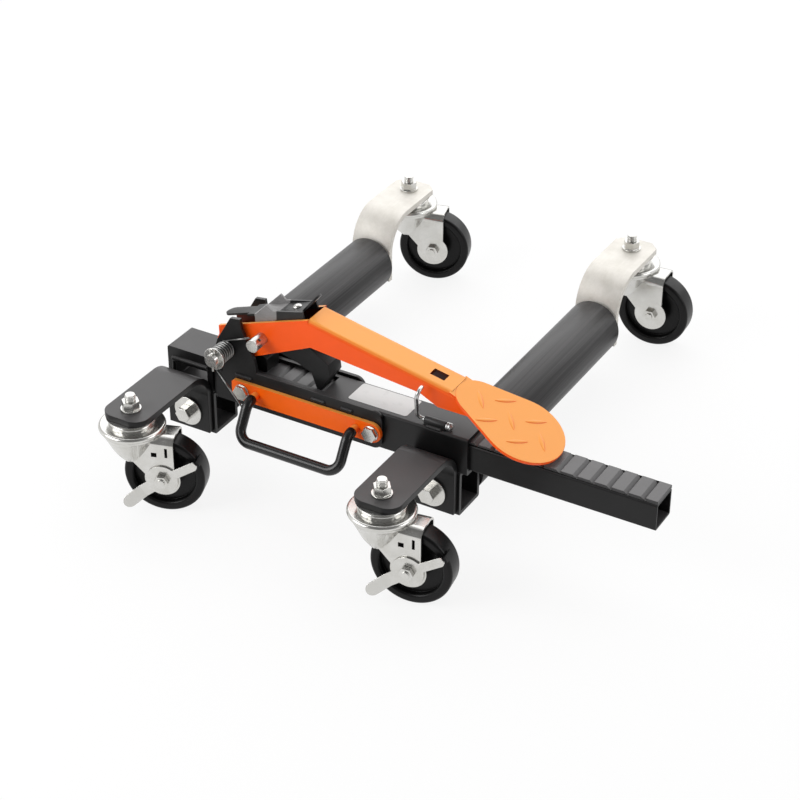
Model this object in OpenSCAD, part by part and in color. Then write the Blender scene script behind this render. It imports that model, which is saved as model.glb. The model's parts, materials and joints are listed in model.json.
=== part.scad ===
// Wheel dolly: two rollers on a sliding frame lift a tyre when the foot pedal pumps the ratchet.
// Millimetres, +Z up, floor at z = 0. The origin is on the floor at the middle of the tyre bay.

/* [Rollers] */
// Distance between the roller axes with the dolly closed
roller_gap = 345; // [335:1:380]
// Outside diameter of a roller
roller_d = 73; // [60:1:76]
// Length of a roller
roller_l = 378; // [300:2:420]
// Wall of a roller tube
roller_wall = 4; // [3:0.5:6]
// Height of the roller axes over the floor
roller_z = 67; // [64:1:72]
// Diameter of the roller shafts
shaft_d = 20; // [16:1:24]
// Length of the bush pressed into each roller end
bush_l = 24; // [16:1:40]
// Running clearance of a bore on its pin or shaft, on the radius
fit_gap = 0.05; // [0.02:0.01:0.1]
// Side clearance between pieces that move past one another
side_gap = 0.5; // [0.4:0.1:0.8]
// Gap between a roller's end and what carries its shaft
roller_end_gap = 3; // [1:0.5:6]

/* [Tubes] */
// Width and height of the outer tube
outer_w = 50; // [46:1:56]
// Wall of the outer tube
outer_wall = 4.5; // [3.5:0.5:6]
// Wall of the ratchet tube
inner_wall = 2.5; // [2:0.5:4]
// Corner radius of the square tubes
tube_corner = 3; // [2:0.5:4]
// Height of the box that carries a roller
box_h = 60; // [54:1:64]
// Length of that box along the tube
box_l = 66; // [56:1:72]
// Wall of that box
box_wall = 5; // [4:0.5:7]
// Side walls of the block at the left end of the ratchet tube
block_wall = 8; // [6:0.5:10]
// Roof of that block
block_roof = 16; // [10:1:18]
// Outer tube past the right roller axis
outer_overhang = 42; // [36:1:60]
// Ratchet tube past the end of the outer tube
inner_overhang = 236; // [180:1:280]
// Gap between the outer tube and the left block, closed
stop_gap = 3; // [1:0.5:8]

/* [Rack] */
// Pitch of the teeth
rack_pitch = 21; // [16:0.5:24]
// Flat land on each tooth
rack_land = 15; // [10:0.5:15]
// Thickness of the toothed plate
rack_t = 4.5; // [4:0.5:6]
// Depth of the teeth
tooth_depth = 3.5; // [2:0.5:3.5]
// Clearance of the pawl tips over the lands
pawl_gap = 0.4; // [0.3:0.1:0.6]

/* [Caster plates] */
// Distance from the tube axis to the front caster stems
front_reach = 147; // [140:1:170]
// Distance from the rear plates to the rear caster stems
rear_reach = 106; // [104:1:130]
// Height of the top of the caster plates
stand_h = 132; // [130:1:140]
// Thickness of the caster plates
plate_t = 8; // [6:0.5:8]
// Width of the caster plates
plate_w = 60; // [56:1:64]
// Clip on the corners of the rear plates
plate_clip = 12; // [6:1:18]
// Rear plates past the stem
plate_nose = 28; // [26:1:34]
// Front plates past the stem
front_nose = 24; // [22:1:30]
// Rounding of the front plates' corners
nose_round = 18; // [10:1:22]
// Outer bend radius of the front plates
front_bend = 35; // [20:1:40]
// Outer bend radius of the rear plates
rear_bend = 50; // [30:1:54]

/* [Casters] */
// Diameter of the wheels
wheel_d = 100; // [92:1:100]
// Width of the wheels
wheel_w = 28; // [24:1:32]
// Offset of the axle from the stem
trail = 40; // [34:1:42]
// Diameter of the stems
stem_d = 12; // [10:1:14]
// Stem past the top of the plate
stem_rise = 22; // [18:1:28]
// Diameter of the axles
axle_d = 10; // [8:1:12]
// Thickness of the pressed forks
fork_t = 3; // [2:0.5:4]
// Swivel of the casters: front left, front right, rear left, rear right
caster_yaw = [19, 8, 16, 4]; // [0:1:30]

/* [Pedal] */
// Pivot from the left end of the outer tube
pivot_in = 24; // [22:1:30]
// Pivot over the top of the outer tube
pivot_up = 26; // [24:1:30]
// Diameter of the pivot pin and the pawl pin
pin_d = 16; // [12:1:16]
// Pawl pin from the pivot along the tube
pawl_dx = 45; // [44:1:48]
// Pawl pin over the pivot
pawl_dz = 23; // [21:1:25]
// Outside width of the pedal channel
pedal_w = 42; // [42:1:44]
// Sheet thickness of the pedal
pedal_t = 4; // [3:0.5:4]
// Highest point of the pedal from the pivot along the tube
knee_dx = 110; // [100:1:116]
// Height of that point over the pivot
knee_dz = 67; // [62:1:70]
// Fall of the pedal's arm per unit of length
arm_fall = 0.2; // [0.16:0.01:0.2]
// Pedal arm's end from the pivot along the tube
arm_dx = 300; // [285:1:310]
// Length of the foot plate
foot_l = 142; // [130:1:144]
// Width of the foot plate
foot_w = 103; // [90:1:110]
// Narrow end of the foot plate
foot_tip_w = 62; // [50:1:70]
// Slope of the foot plate, degrees
foot_slope = 21.8; // [18:0.2:22]
// Sheet thickness of the foot plate
foot_t = 4; // [3:0.5:5]

/* [Handle and hook] */
// Diameter of the handle rod
rod_d = 11; // [9:1:12]
// Thickness of the vinyl on the handle
grip_t = 1; // [0.8:0.2:2]
// Distance between the handle's legs
handle_w = 140; // [120:2:150]
// Reach of the handle from its strip
handle_out = 42; // [38:1:55]
// Drop of the handle below its strip's middle
handle_drop = 40; // [34:1:46]
// Height of the handle strip
strip_h = 26; // [22:1:30]
// Thickness of the handle strip and the side plates
strip_t = 5; // [4:0.5:6]
// Diameter of the hook's wire
hook_d = 5; // [4:0.5:6]
// Length of the hook's shank
hook_l = 46; // [42:1:50]
// Swing of the hook away from the pedal, degrees
hook_swing = 30; // [28:1:36]

/* [Return spring] */
// Curls of the spring
spring_turns = 6; // [4:1:8]
// Wire of the spring
spring_wire = 2.6; // [2:0.2:3]
// Advance of the spring for each curl
spring_pitch = 3.7; // [3.4:0.1:4.2]

/* [Hidden] */
$fn = 72;
black_paint = [0.06, 0.06, 0.065];
orange = [0.93, 0.33, 0.04];
zinc = [0.78, 0.77, 0.74];
steel = [0.6, 0.6, 0.6];
tread = [0.04, 0.04, 0.04];
grey_paint = [0.3, 0.3, 0.31];

// Shared heights and places along the tube
tube_z = roller_z + box_h / 2 + outer_w / 2;
tube_top = tube_z + outer_w / 2;
tube_bottom = tube_z - outer_w / 2;
half_w = outer_w / 2;
inner_w = outer_w - 2 * outer_wall - 2 * side_gap;
rack_top = tube_z + inner_w / 2;
outer_left = stop_gap + box_l / 2 - roller_gap;
inner_right = outer_overhang + inner_overhang;
block_right = box_l / 2 - roller_gap;
box_z = roller_z - box_h / 2;
box_face = -half_w;

// Rollers and shafts
roller_y0 = half_w + roller_end_gap;
roller_y1 = roller_y0 + roller_l;
roller_mid = (roller_y0 + roller_y1) / 2;
rear_face = roller_y1 + roller_end_gap;
rear_stem_y = rear_face + rear_reach;
front_stem_y = -front_reach;
shaft_r = shaft_d / 2;
bush_lip = 2;

// Bolts that hold the front plates to the shafts
arm_bolt_d = 12;
arm_bolt_in = 30;
arm_head_af = 18;
arm_head_h = 12;
arm_washer_d = 39;
arm_washer_t = 3;
leg_bottom = box_z + 5;

// Casters
wheel_r = wheel_d / 2;
axle_r = axle_d / 2;
stem_r = stem_d / 2;
plate_under = stand_h - plate_t;
race_t = 3;
race_r = 31;
crown_r = 37;
lip_r = 3.5;
ring_r = 28;
ring_round = 3;
crown_z = wheel_d + 4;
dome_top = plate_under - race_t - 0.4;
flank_low = 34;
leg_back = 15;
shoulder_r = 12;
wheel_room = 3;
leg_in = wheel_w / 2 + 3.5;
leg_out = leg_in + fork_t;
boss_r = 22;
leg_neck = 12;
rivet_r = 10;
rivet_t = 5;
nut_af = 19;
nut_h = 10;
nut_washer_r = 12.5;
nut_washer_t = 2.5;
lever_gap = 0.35;
lever_t = 2;
shoe_gap = 1.6;
shoe_t = 2;

// Pedal pivot, pawl pin and the pedal's outline in the plane of its walls
pivot = [outer_left + pivot_in, tube_top + pivot_up];
pawl_pin_at = pivot + [pawl_dx, pawl_dz];
knee = pivot + [knee_dx, knee_dz];
arm_end = pivot[0] + arm_dx;
function arm_top(x) = knee[1] - arm_fall * (x - knee[0]);
pin_r = pin_d / 2;
pedal_in = pedal_w / 2 - pedal_t;
pedal_edge = 6;
heel_r = 20;
heel_top = pivot + [-17, 23];
knee_depth = 36;
arm_depth = 21;
toe_depth = 28;
lever_wall = 2.5;
lever_in = pedal_in - side_gap - lever_wall;
pawl_w = 2 * (lever_in - side_gap);
beak_dx = 72;

// Side plates with the pedal's ears
ear_face = half_w + strip_t;
ear_lean = [[-18, -30], [42, -30], [41, -16], [38, -4], [22, 32], [20, 46], [6, 44], [-14, 9], [-18, -4]];
lip_up = 3;
plate_low = 2;
plate_round = 12;
plate_end = pivot[0] + 216;

// Window in the tube's top that the pawls reach through
window_l = pawl_pin_at[0] - 24;
window_r = pawl_pin_at[0] + 84;
window_w = pawl_w + 8;

// Return spring on the pivot pin
spring_r = pin_r + 1.4 + spring_wire / 2;
spring_y = -ear_face - 0.6 - spring_wire / 2;
spring_end = spring_y - spring_turns * spring_pitch;
washer_y = spring_end - spring_wire / 2 - 0.5;
pin_washer_r = 14;
pin_washer_t = 2.5;
pin_tip = washer_y - pin_washer_t - 7;
pawl_pin_tip = -pedal_w / 2 - 22;
pin_head_lip = 4;
pin_head_h = 5;
cotter_in = 4.5;
cotter_r = 1.5;

// Handle
strip_face = -ear_face - strip_t;
strip_mid = pivot[0] + 113;
strip_left = strip_mid - 105;
strip_right = strip_mid + 104;
leg_x = [strip_mid - handle_w / 2, strip_mid + handle_w / 2];
bolt_x = [strip_left + 15, strip_right - strip_h / 2];
handle_bolt_r = 5;
handle_head_af = 17;
handle_head_h = 6.5;
flange_t = 1.6;
flange_lip = 1.5;
rod_r = rod_d / 2;
handle_bend = 16;
handle_stub = 18;

// Hook
hook_r = hook_d / 2;
sleeve_r = hook_r + 2.6;
sleeve_l = 28;
sleeve_in = 18;
sleeve_x = [-sleeve_in, sleeve_l - sleeve_in];
sleeve_y = 8 - half_w;
sleeve_z = tube_top + sleeve_r;
hook_bend = 7;
hook_lean = 14;

// Pieces are drawn with the tube axis on y = 0 and the right roller on x = 0, then moved to the origin
module place() {
  translate([roller_gap / 2, -roller_mid, 0]) children();
}

// The left half of the dolly is drawn on the same axes, one roller gap away
module left_side() {
  translate([-roller_gap, 0, 0]) children();
}

module rod_y(r, y0, y1) {
  translate([0, y0, 0]) rotate([-90, 0, 0]) cylinder(r = r, h = y1 - y0);
}

module rod_x(r, x0, x1) {
  translate([x0, 0, 0]) rotate([0, 90, 0]) cylinder(r = r, h = x1 - x0);
}

// A side view (x, z) made solid between two values of y
module side_slab(y0, y1) {
  translate([0, y1, 0]) rotate([90, 0, 0]) linear_extrude(y1 - y0) children();
}

// An end view (y, z) made solid between two values of x
module end_slab(x0, x1) {
  translate([x0, 0, 0]) rotate([90, 0, 90]) linear_extrude(x1 - x0) children();
}

module round_rect(w, h, r) {
  square([w - 2 * r, h], center = true);
  square([w, h - 2 * r], center = true);
  for (sx = [-1, 1], sy = [-1, 1])
    translate([sx * (w / 2 - r), sy * (h / 2 - r)]) circle(r);
}

// Square tube's section, centred
module tube_section(w, h, wall) {
  difference() {
    round_rect(w, h, tube_corner);
    round_rect(w - 2 * wall, h - 2 * wall, max(tube_corner - wall, 0.8));
  }
}

module hex_y(af, y0, y1) {
  translate([0, y0, 0]) rotate([-90, 0, 0]) cylinder(d = af / cos(30), h = y1 - y0, $fn = 6);
}

module hex_z(af, z0, z1) {
  translate([0, 0, z0]) cylinder(d = af / cos(30), h = z1 - z0, $fn = 6);
}

// Frame

module outer_tube() {
  color(black_paint) place() difference() {
    end_slab(outer_left, outer_overhang) translate([0, tube_z]) tube_section(outer_w, outer_w, outer_wall);
    translate([window_l, -window_w / 2, tube_z])
      cube([window_r - window_l, window_w, outer_w]);
    for (x = bolt_x)
      translate([x, 0, tube_z]) rod_y(handle_bolt_r + fit_gap, -outer_w, 0);
  }
}

// Outline of a side plate: its ear round the pivot pin and a tail along the tube
module side_plate_outline(tail) {
  low = tube_bottom + plate_low;
  high = tube_top + lip_up;
  difference() {
    union() {
      polygon([for (p = ear_lean) pivot + p]);
      translate([pivot[0] + ear_lean[0][0], low]) square([ear_lean[1][0] - ear_lean[0][0], high - low]);
      translate([pivot[0], low]) square([tail - plate_round - pivot[0], high - low]);
      translate([tail - plate_round, high - plate_round]) circle(plate_round);
      translate([tail - plate_round, low + plate_round]) circle(plate_round);
      translate([tail - plate_round, low + plate_round]) square([plate_round, high - low - 2 * plate_round]);
    }
    translate(pivot) circle(pin_r + fit_gap);
  }
}

module side_plate_near() {
  color(black_paint) place() difference() {
    side_slab(-ear_face, -half_w) side_plate_outline(plate_end);
    for (x = bolt_x)
      translate([x, 0, tube_z]) rod_y(handle_bolt_r + fit_gap, -outer_w, 0);
    for (x = leg_x)
      translate([x, 0, tube_z]) rod_y(rod_r + fit_gap, -outer_w, 0);
  }
}

module side_plate_far() {
  color(black_paint) place() side_slab(half_w, ear_face) side_plate_outline(window_r + 30);
}

module handle_strip() {
  color(orange) place() difference() {
    side_slab(strip_face, -ear_face) {
      translate([strip_left, tube_z - strip_h / 2])
        polygon([[0, 6], [6, 0], [strip_right - strip_left - strip_h / 2, 0],
                 [strip_right - strip_left - strip_h / 2, strip_h], [3, strip_h], [0, strip_h - 3]]);
      translate([strip_right - strip_h / 2, tube_z]) circle(strip_h / 2);
    }
    for (x = bolt_x)
      translate([x, 0, tube_z]) rod_y(handle_bolt_r + fit_gap, -outer_w, 0);
    for (x = leg_x)
      translate([x, 0, tube_z]) rod_y(rod_r + fit_gap, -outer_w, 0);
  }
}

// The handle is a rod out of the strip, down a sloping leg and along the grip, with round bends
leg_fall = atan2(handle_drop, handle_out - handle_stub);
leg_run = norm([handle_drop, handle_out - handle_stub]);
knee_cut = handle_bend * tan(leg_fall / 2);
knee_start = strip_face - handle_stub + knee_cut;

leg_way = [0, -cos(leg_fall), -sin(leg_fall)];
corner = [0, strip_face - handle_stub, tube_z] + (leg_run - handle_bend) * leg_way + [handle_bend, 0, 0];
bend_steps = 6;

// One half of the loop, from a start on the strip's side to the grip; x = 0 is the leg
function half_loop(start) = concat(
  [[0, start, tube_z]],
  [for (i = [0 : bend_steps]) let (a = leg_fall * i / bend_steps)
    [0, knee_start - handle_bend * sin(a), tube_z - handle_bend + handle_bend * cos(a)]],
  [for (i = [0 : bend_steps]) let (a = 90 * i / bend_steps)
    corner - [handle_bend * cos(a), 0, 0] + handle_bend * sin(a) * leg_way]
);
function loop_path(start) =
  let (half = half_loop(start), n = len(half))
  concat(
    [for (p = half) p + [leg_x[0], 0, 0]],
    [for (i = [1 : n]) let (p = half[n - i]) [leg_x[1] - p[0], p[1], p[2]]]
  );
loop_sides = 16;
loop_side = [0.5, 0.2, 1];

module carry_handle() {
  color(orange) place() wire_along(loop_path(-half_w), rod_r, loop_sides, loop_side);
}

module handle_grip() {
  color(black_paint) place()
    wire_along(loop_path(knee_start + 0.5), rod_r + grip_t, loop_sides, loop_side, rod_r + fit_gap);
}

module handle_bolts() {
  color(zinc) place() for (x = bolt_x)
    translate([x, 0, tube_z]) {
      hex_y(handle_head_af, strip_face - handle_head_h, strip_face - flange_t);
      rod_y(handle_head_af / 2 + flange_lip, strip_face - flange_t, strip_face);
      rod_y(handle_bolt_r, strip_face - handle_head_h / 2, outer_wall - half_w);
    }
}

// Square tube across the roller's shaft, open at both ends
module arm_box() {
  difference() {
    end_slab(-box_l / 2, box_l / 2) translate([0, roller_z]) tube_section(outer_w, box_h, box_wall);
    translate([0, 0, roller_z]) rod_y(shaft_r + fit_gap, -outer_w, outer_w);
  }
}

module arm_box_right() {
  color(black_paint) place() arm_box();
}

module arm_box_left() {
  color(black_paint) place() left_side() arm_box();
}

// Bent plate in end view: a leg up the face at y = 0 and a shelf out towards -y
module bent_plate_outline(radius, shelf) {
  translate([-plate_t, leg_bottom]) square([plate_t, stand_h - radius - leg_bottom]);
  translate([-shelf, plate_under]) square([shelf - radius, plate_t]);
  translate([-radius, stand_h - radius]) intersection() {
    difference() {
      circle(radius);
      circle(radius - plate_t);
    }
    square(radius);
  }
}

module clip_corners(shelf) {
  for (s = [-1, 1])
    translate([s * plate_w / 2, -shelf, stand_h]) rotate([0, 0, 45])
      cube([plate_clip * sqrt(2), plate_clip * sqrt(2), 4 * plate_t], center = true);
}

// Front plate from above: a strip with a rounded nose
module nose_outline(shelf) {
  side = plate_w / 2 - nose_round;
  translate([-plate_w / 2, nose_round - shelf]) square([plate_w, shelf]);
  translate([-side, -shelf]) square([2 * side, shelf]);
  for (s = [-1, 1])
    translate([s * side, nose_round - shelf]) circle(nose_round);
}

module front_plate() {
  reach = front_reach - half_w;
  shelf = reach + front_nose;
  translate([0, box_face, 0]) difference() {
    intersection() {
      end_slab(-plate_w / 2, plate_w / 2) bent_plate_outline(front_bend, shelf);
      linear_extrude(2 * stand_h) nose_outline(shelf);
    }
    translate([0, -reach, 0]) cylinder(r = stem_r + fit_gap, h = 2 * stand_h);
    translate([0, 0, roller_z]) rod_y(arm_bolt_d / 2 + fit_gap, -2 * plate_t, plate_t);
  }
}

module front_plate_right() {
  color(black_paint) place() front_plate();
}

module front_plate_left() {
  color(black_paint) place() left_side() front_plate();
}

module rear_plate() {
  shelf = rear_reach + plate_nose;
  translate([0, rear_face, 0]) mirror([0, 1, 0]) difference() {
    end_slab(-plate_w / 2, plate_w / 2) bent_plate_outline(rear_bend, shelf);
    clip_corners(shelf);
    translate([0, -rear_reach, 0]) cylinder(r = stem_r + fit_gap, h = 2 * stand_h);
    translate([0, 0, roller_z]) rod_y(shaft_r + fit_gap, -2 * plate_t, plate_t);
  }
}

module rear_plate_right() {
  color(zinc) place() rear_plate();
}

module rear_plate_left() {
  color(zinc) place() left_side() rear_plate();
}

module shaft() {
  translate([0, 0, roller_z]) difference() {
    rod_y(shaft_r, box_face, rear_face + plate_t);
    rod_y(arm_bolt_d / 2 + fit_gap, box_face - 1, box_face + arm_bolt_in + 1);
  }
}

module shaft_right() {
  color(steel) place() shaft();
}

module shaft_left() {
  color(steel) place() left_side() shaft();
}

module arm_bolt() {
  head_y = box_face - plate_t - arm_washer_t;
  translate([0, 0, roller_z]) {
    hex_y(arm_head_af, head_y - arm_head_h, head_y);
    rod_y(arm_bolt_d / 2, head_y - arm_head_h / 2, box_face + arm_bolt_in);
  }
}

module arm_washer() {
  translate([0, box_face - plate_t, roller_z]) difference() {
    rod_y(arm_washer_d / 2, -arm_washer_t, 0);
    rod_y(arm_bolt_d / 2 + fit_gap, -2 * arm_washer_t, 1);
  }
}

module arm_bolt_right() {
  color(zinc) place() arm_bolt();
}

module arm_bolt_left() {
  color(zinc) place() left_side() arm_bolt();
}

module arm_washer_right() {
  color(zinc) place() arm_washer();
}

module arm_washer_left() {
  color(zinc) place() left_side() arm_washer();
}

// Rollers

module roller() {
  translate([0, 0, roller_z]) difference() {
    rod_y(roller_d / 2, roller_y0, roller_y1);
    rod_y(roller_d / 2 - roller_wall, roller_y0 - 1, roller_y1 + 1);
  }
}

module roller_bushes() {
  bush_r = roller_d / 2 - roller_wall - 0.02;
  for (y0 = [roller_y0 + bush_lip, roller_y1 - bush_lip - bush_l])
    translate([0, 0, roller_z]) difference() {
      rod_y(bush_r, y0, y0 + bush_l);
      rod_y(shaft_r + fit_gap, y0 - 1, y0 + bush_l + 1);
    }
}

module roller_right() {
  color(black_paint) place() roller();
}

module roller_left() {
  color(black_paint) place() left_side() roller();
}

module roller_bushes_right() {
  color(steel) place() roller_bushes();
}

module roller_bushes_left() {
  color(steel) place() left_side() roller_bushes();
}

// Sliding half

module ratchet_tube() {
  tube_h = inner_w - rack_t;
  color(black_paint) place() end_slab(block_right, inner_right)
    translate([0, tube_z - inner_w / 2 + tube_h / 2]) tube_section(inner_w, tube_h, inner_wall);
}

// One tooth: a land, a slope down to the right and a square face on the next land
module tooth_gap() {
  polygon([[rack_land, 1], [rack_land, 0], [rack_pitch - 1, -tooth_depth], [rack_pitch, -tooth_depth],
           [rack_pitch, 1]]);
}

module rack_plate() {
  rack_l = inner_right - window_l + 20;
  teeth = floor(rack_l / rack_pitch) - 1;
  color(black_paint) place() side_slab(-inner_w / 2 + 0.5, inner_w / 2 - 0.5) difference() {
    translate([inner_right - rack_l, rack_top - rack_t]) square([rack_l, rack_t]);
    for (i = [0 : teeth - 1])
      translate([inner_right - rack_land - (i + 1) * rack_pitch, rack_top]) tooth_gap();
  }
}

module cross_tube() {
  hole_h = outer_w - box_wall - block_roof;
  color(black_paint) place() left_side() side_slab(-half_w, half_w) difference() {
    translate([0, tube_z]) round_rect(box_l, outer_w, tube_corner);
    translate([0, tube_bottom + box_wall + hole_h / 2]) round_rect(box_l - 2 * block_wall, hole_h, 1);
  }
}

// Casters

// Places a caster's own frame on a stem: stem on z, wheel trailing towards +x
module caster_at(i) {
  x = i % 2 == 0 ? -roller_gap : 0;
  y = i < 2 ? front_stem_y : rear_stem_y;
  place() translate([x, y, 0]) rotate([0, 0, caster_yaw[i]]) children();
}

module stem(i) {
  color(zinc) caster_at(i) {
    translate([0, 0, crown_z - side_gap - rivet_t]) cylinder(r = rivet_r, h = rivet_t);
    translate([0, 0, crown_z - side_gap - 1])
      cylinder(r = stem_r, h = stand_h + stem_rise - crown_z + side_gap);
    translate([0, 0, plate_under - race_t]) cylinder(r1 = race_r - 3, r2 = race_r, h = race_t);
  }
}

module stem_nut(i) {
  caster_at(i) difference() {
    union() {
      translate([0, 0, stand_h]) cylinder(r = nut_washer_r, h = nut_washer_t);
      hex_z(nut_af, stand_h + nut_washer_t, stand_h + nut_washer_t + nut_h);
    }
    translate([0, 0, stand_h - 1]) cylinder(r = stem_r + fit_gap, h = nut_h + nut_washer_t + 2);
  }
}

module stem_front_left() {
  stem(0);
}

module stem_front_right() {
  stem(1);
}

module stem_rear_left() {
  stem(2);
}

module stem_rear_right() {
  stem(3);
}

module stem_nuts_left() {
  color(zinc) for (i = [0, 2]) stem_nut(i);
}

module stem_nuts_right() {
  color(zinc) for (i = [1, 3]) stem_nut(i);
}

// Side of the fork in side view: from the crown down to the axle boss, widest behind the wheel's top
module fork_leg() {
  union() {
    polygon([[trail - leg_neck, wheel_r - 5], [trail + leg_back, wheel_r],
             [trail + leg_back, crown_z + fork_t], [-crown_r / 2, crown_z + fork_t],
             [-crown_r / 2, crown_z - 8]]);
    translate([trail, wheel_r]) circle(boss_r);
  }
}

// Inverted channel over the wheel in end view, with round shoulders
module fork_channel() {
  difference() {
    channel_outline(leg_out, crown_z + fork_t, shoulder_r);
    channel_outline(leg_in, crown_z, shoulder_r - fork_t);
  }
}

module channel_outline(half, top, r) {
  translate([-half, 0]) square([2 * half, top - r]);
  translate([r - half, 0]) square([2 * (half - r), top]);
  for (s = [-1, 1])
    translate([s * (half - r), top - r]) circle(r);
}

// Half section of the pressed crown: a flat disc, a rolled lip and a raised ball race
module crown_section() {
  square([crown_r, 2 * lip_r + 3]);
  translate([crown_r, lip_r + 3]) circle(lip_r);
  square([ring_r, dome_top - crown_z - ring_round]);
  square([ring_r - ring_round, dome_top - crown_z]);
  translate([ring_r - ring_round, dome_top - crown_z - ring_round]) circle(ring_round);
}

// Half section of the tapered flank between the crown and the legs
module flank_section() {
  polygon([[leg_out - fork_t, crown_z - flank_low], [leg_out, crown_z - flank_low], [crown_r, crown_z + 1],
           [crown_r - fork_t - 1, crown_z + 1]]);
}

// Punched windows of a leg: place behind the axle, depth under the crown, width and height
fork_slots = [[-9, 20, 7, 6], [6, 16, 3.5, 13], [-1, 38, 5, 5]];

module fork(i) {
  color(zinc) caster_at(i) difference() {
    union() {
      intersection() {
        end_slab(-crown_r, trail + leg_back + 1) fork_channel();
        side_slab(-leg_out - 1, leg_out + 1) fork_leg();
      }
      intersection() {
        rotate_extrude() flank_section();
        side_slab(-2 * crown_r, 2 * crown_r)
          polygon([[-crown_r - 1, crown_z - 6], [trail - leg_neck, wheel_r - 4],
                   [trail - leg_neck, crown_z + 2], [-crown_r - 1, crown_z + 2]]);
      }
      translate([0, 0, crown_z]) rotate_extrude() crown_section();
    }
    translate([0, 0, crown_z - 1]) cylinder(r = stem_r + fit_gap, h = dome_top - crown_z + 2);
    translate([0, 0, crown_z - 1 - rivet_t]) cylinder(r = rivet_r + 1, h = rivet_t + 1);
    translate([trail, 0, wheel_r]) rod_y(wheel_r + wheel_room, -leg_in, leg_in);
    translate([trail, 0, wheel_r]) rod_y(axle_r + fit_gap, -2 * leg_out, 2 * leg_out);
    for (s = [-1, 1], slot = fork_slots)
      translate([trail + slot[0], s * leg_out, crown_z - slot[1]])
        cube([slot[2], 2 * fork_t, slot[3]], center = true);
  }
}

module fork_front_left() {
  fork(0);
}

module fork_front_right() {
  fork(1);
}

module fork_rear_left() {
  fork(2);
}

module fork_rear_right() {
  fork(3);
}

// Wheel's section: x is the radius and y the width
module wheel_section() {
  rim_in = wheel_r - 12;
  hub_r = axle_r + 9;
  translate([(rim_in + wheel_r) / 2, 0]) round_rect(wheel_r - rim_in, wheel_w, 4);
  translate([hub_r - 1, -wheel_w * 0.22]) square([rim_in - hub_r + 2, wheel_w * 0.44]);
  translate([axle_r + fit_gap, -leg_in + side_gap])
    square([hub_r - axle_r - fit_gap, 2 * (leg_in - side_gap)]);
}

module wheel(i) {
  color(tread) caster_at(i) translate([trail, 0, wheel_r]) rotate([90, 0, 0])
    rotate_extrude() wheel_section();
}

module wheel_front_left() {
  wheel(0);
}

module wheel_front_right() {
  wheel(1);
}

module wheel_rear_left() {
  wheel(2);
}

module wheel_rear_right() {
  wheel(3);
}

// Front axles stand out past the brake lever; rear axles have a round head on the fork
module axle(i) {
  nut_y = i < 2 ? -leg_out - lever_t - 2 * lever_gap : -leg_out;
  color(zinc) caster_at(i) translate([trail, 0, wheel_r]) {
    rod_y(axle_r, nut_y - 8, leg_out);
    hex_y(16, nut_y - 6, nut_y);
    rod_y(9, leg_out, leg_out + 5);
  }
}

module axle_front_left() {
  axle(0);
}

module axle_front_right() {
  axle(1);
}

module axle_rear_left() {
  axle(2);
}

module axle_rear_right() {
  axle(3);
}

// Brake lever on the near side of a front caster, turning on the axle
lever_l = 46;
lever_w = 13;
lever_hub = 20;
lever_up = 42;
lever_down = 205;

module brake_lever(i) {
  reach = wheel_r + shoe_gap + shoe_t;
  color(zinc) caster_at(i) translate([trail, 0, wheel_r])
    side_slab(-leg_out - lever_gap - lever_t, -leg_out - lever_gap) difference() {
      union() {
        circle(lever_hub);
        rotate(lever_up)
          polygon([[0, -lever_w / 2 - 2], [reach, 1 - lever_w / 2], [reach, lever_w / 2 - 1],
                   [0, lever_w / 2 + 2]]);
        rotate(lever_down)
          polygon([[0, -lever_w / 2 - 3], [lever_l, 0.5 - lever_w / 2], [lever_l, lever_w / 2 - 0.5],
                   [0, lever_w / 2 + 3]]);
        rotate(lever_down) translate([lever_l, 0]) circle(lever_w / 2);
      }
      circle(axle_r + fit_gap);
    }
}

module brake_lever_left() {
  brake_lever(0);
}

module brake_lever_right() {
  brake_lever(1);
}

// Curved shoe over the tread, carried by the lever's upper arm
module brake_shoe(i) {
  inner = wheel_r + shoe_gap;
  color(zinc) caster_at(i) translate([trail, 0, wheel_r])
    side_slab(-leg_out - lever_gap, wheel_w / 2) intersection() {
      difference() {
        circle(inner + shoe_t);
        circle(inner);
      }
      polygon([[0, 0], 2 * wheel_r * [cos(16), sin(16)], 2 * wheel_r * [cos(62), sin(62)]]);
    }
}

module brake_shoe_left() {
  brake_shoe(0);
}

module brake_shoe_right() {
  brake_shoe(1);
}

// Pedal

// Side view of the pedal's walls: a rising channel to the knee, then the arm down to the foot plate
module pedal_side() {
  toe = arm_end - 15;
  polygon([pivot + [-heel_r * 0.8, -heel_r * 0.6], pivot + [14, -heel_r * 0.72], knee + [3, -knee_depth],
           [toe - 24, arm_top(toe - 24) - arm_depth], [toe, arm_top(toe) - toe_depth],
           [arm_end + 60, arm_top(toe) - toe_depth], [arm_end + 60, arm_top(arm_end + 60)], knee, heel_top]);
  translate(pivot) circle(heel_r);
}

// The arm's rounded section laid along its slope, used to round the channel's top edges
module arm_section(shrink) {
  slope = atan(arm_fall);
  w = pedal_w - 2 * shrink;
  r = max(pedal_edge - shrink, 1);
  translate([knee[0], 0, knee[1] - shrink]) rotate([0, slope, 0]) end_slab(-400, 400) {
    translate([-w / 2, -200]) square([w, 200 - r]);
    translate([r - w / 2, -200]) square([w - 2 * r, 200]);
    for (s = [-1, 1])
      translate([s * (w / 2 - r), -r]) circle(r);
  }
}

// Half space over the underside of the foot plate, where the arm is cut to carry it
module over_foot(extra) {
  translate([foot_at[0], -foot_w, foot_at[1] - extra]) rotate([0, foot_slope, 0])
    cube([2 * foot_l, 2 * foot_w, 100]);
}

foot_at = [arm_end, arm_top(arm_end) - foot_t];

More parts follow.
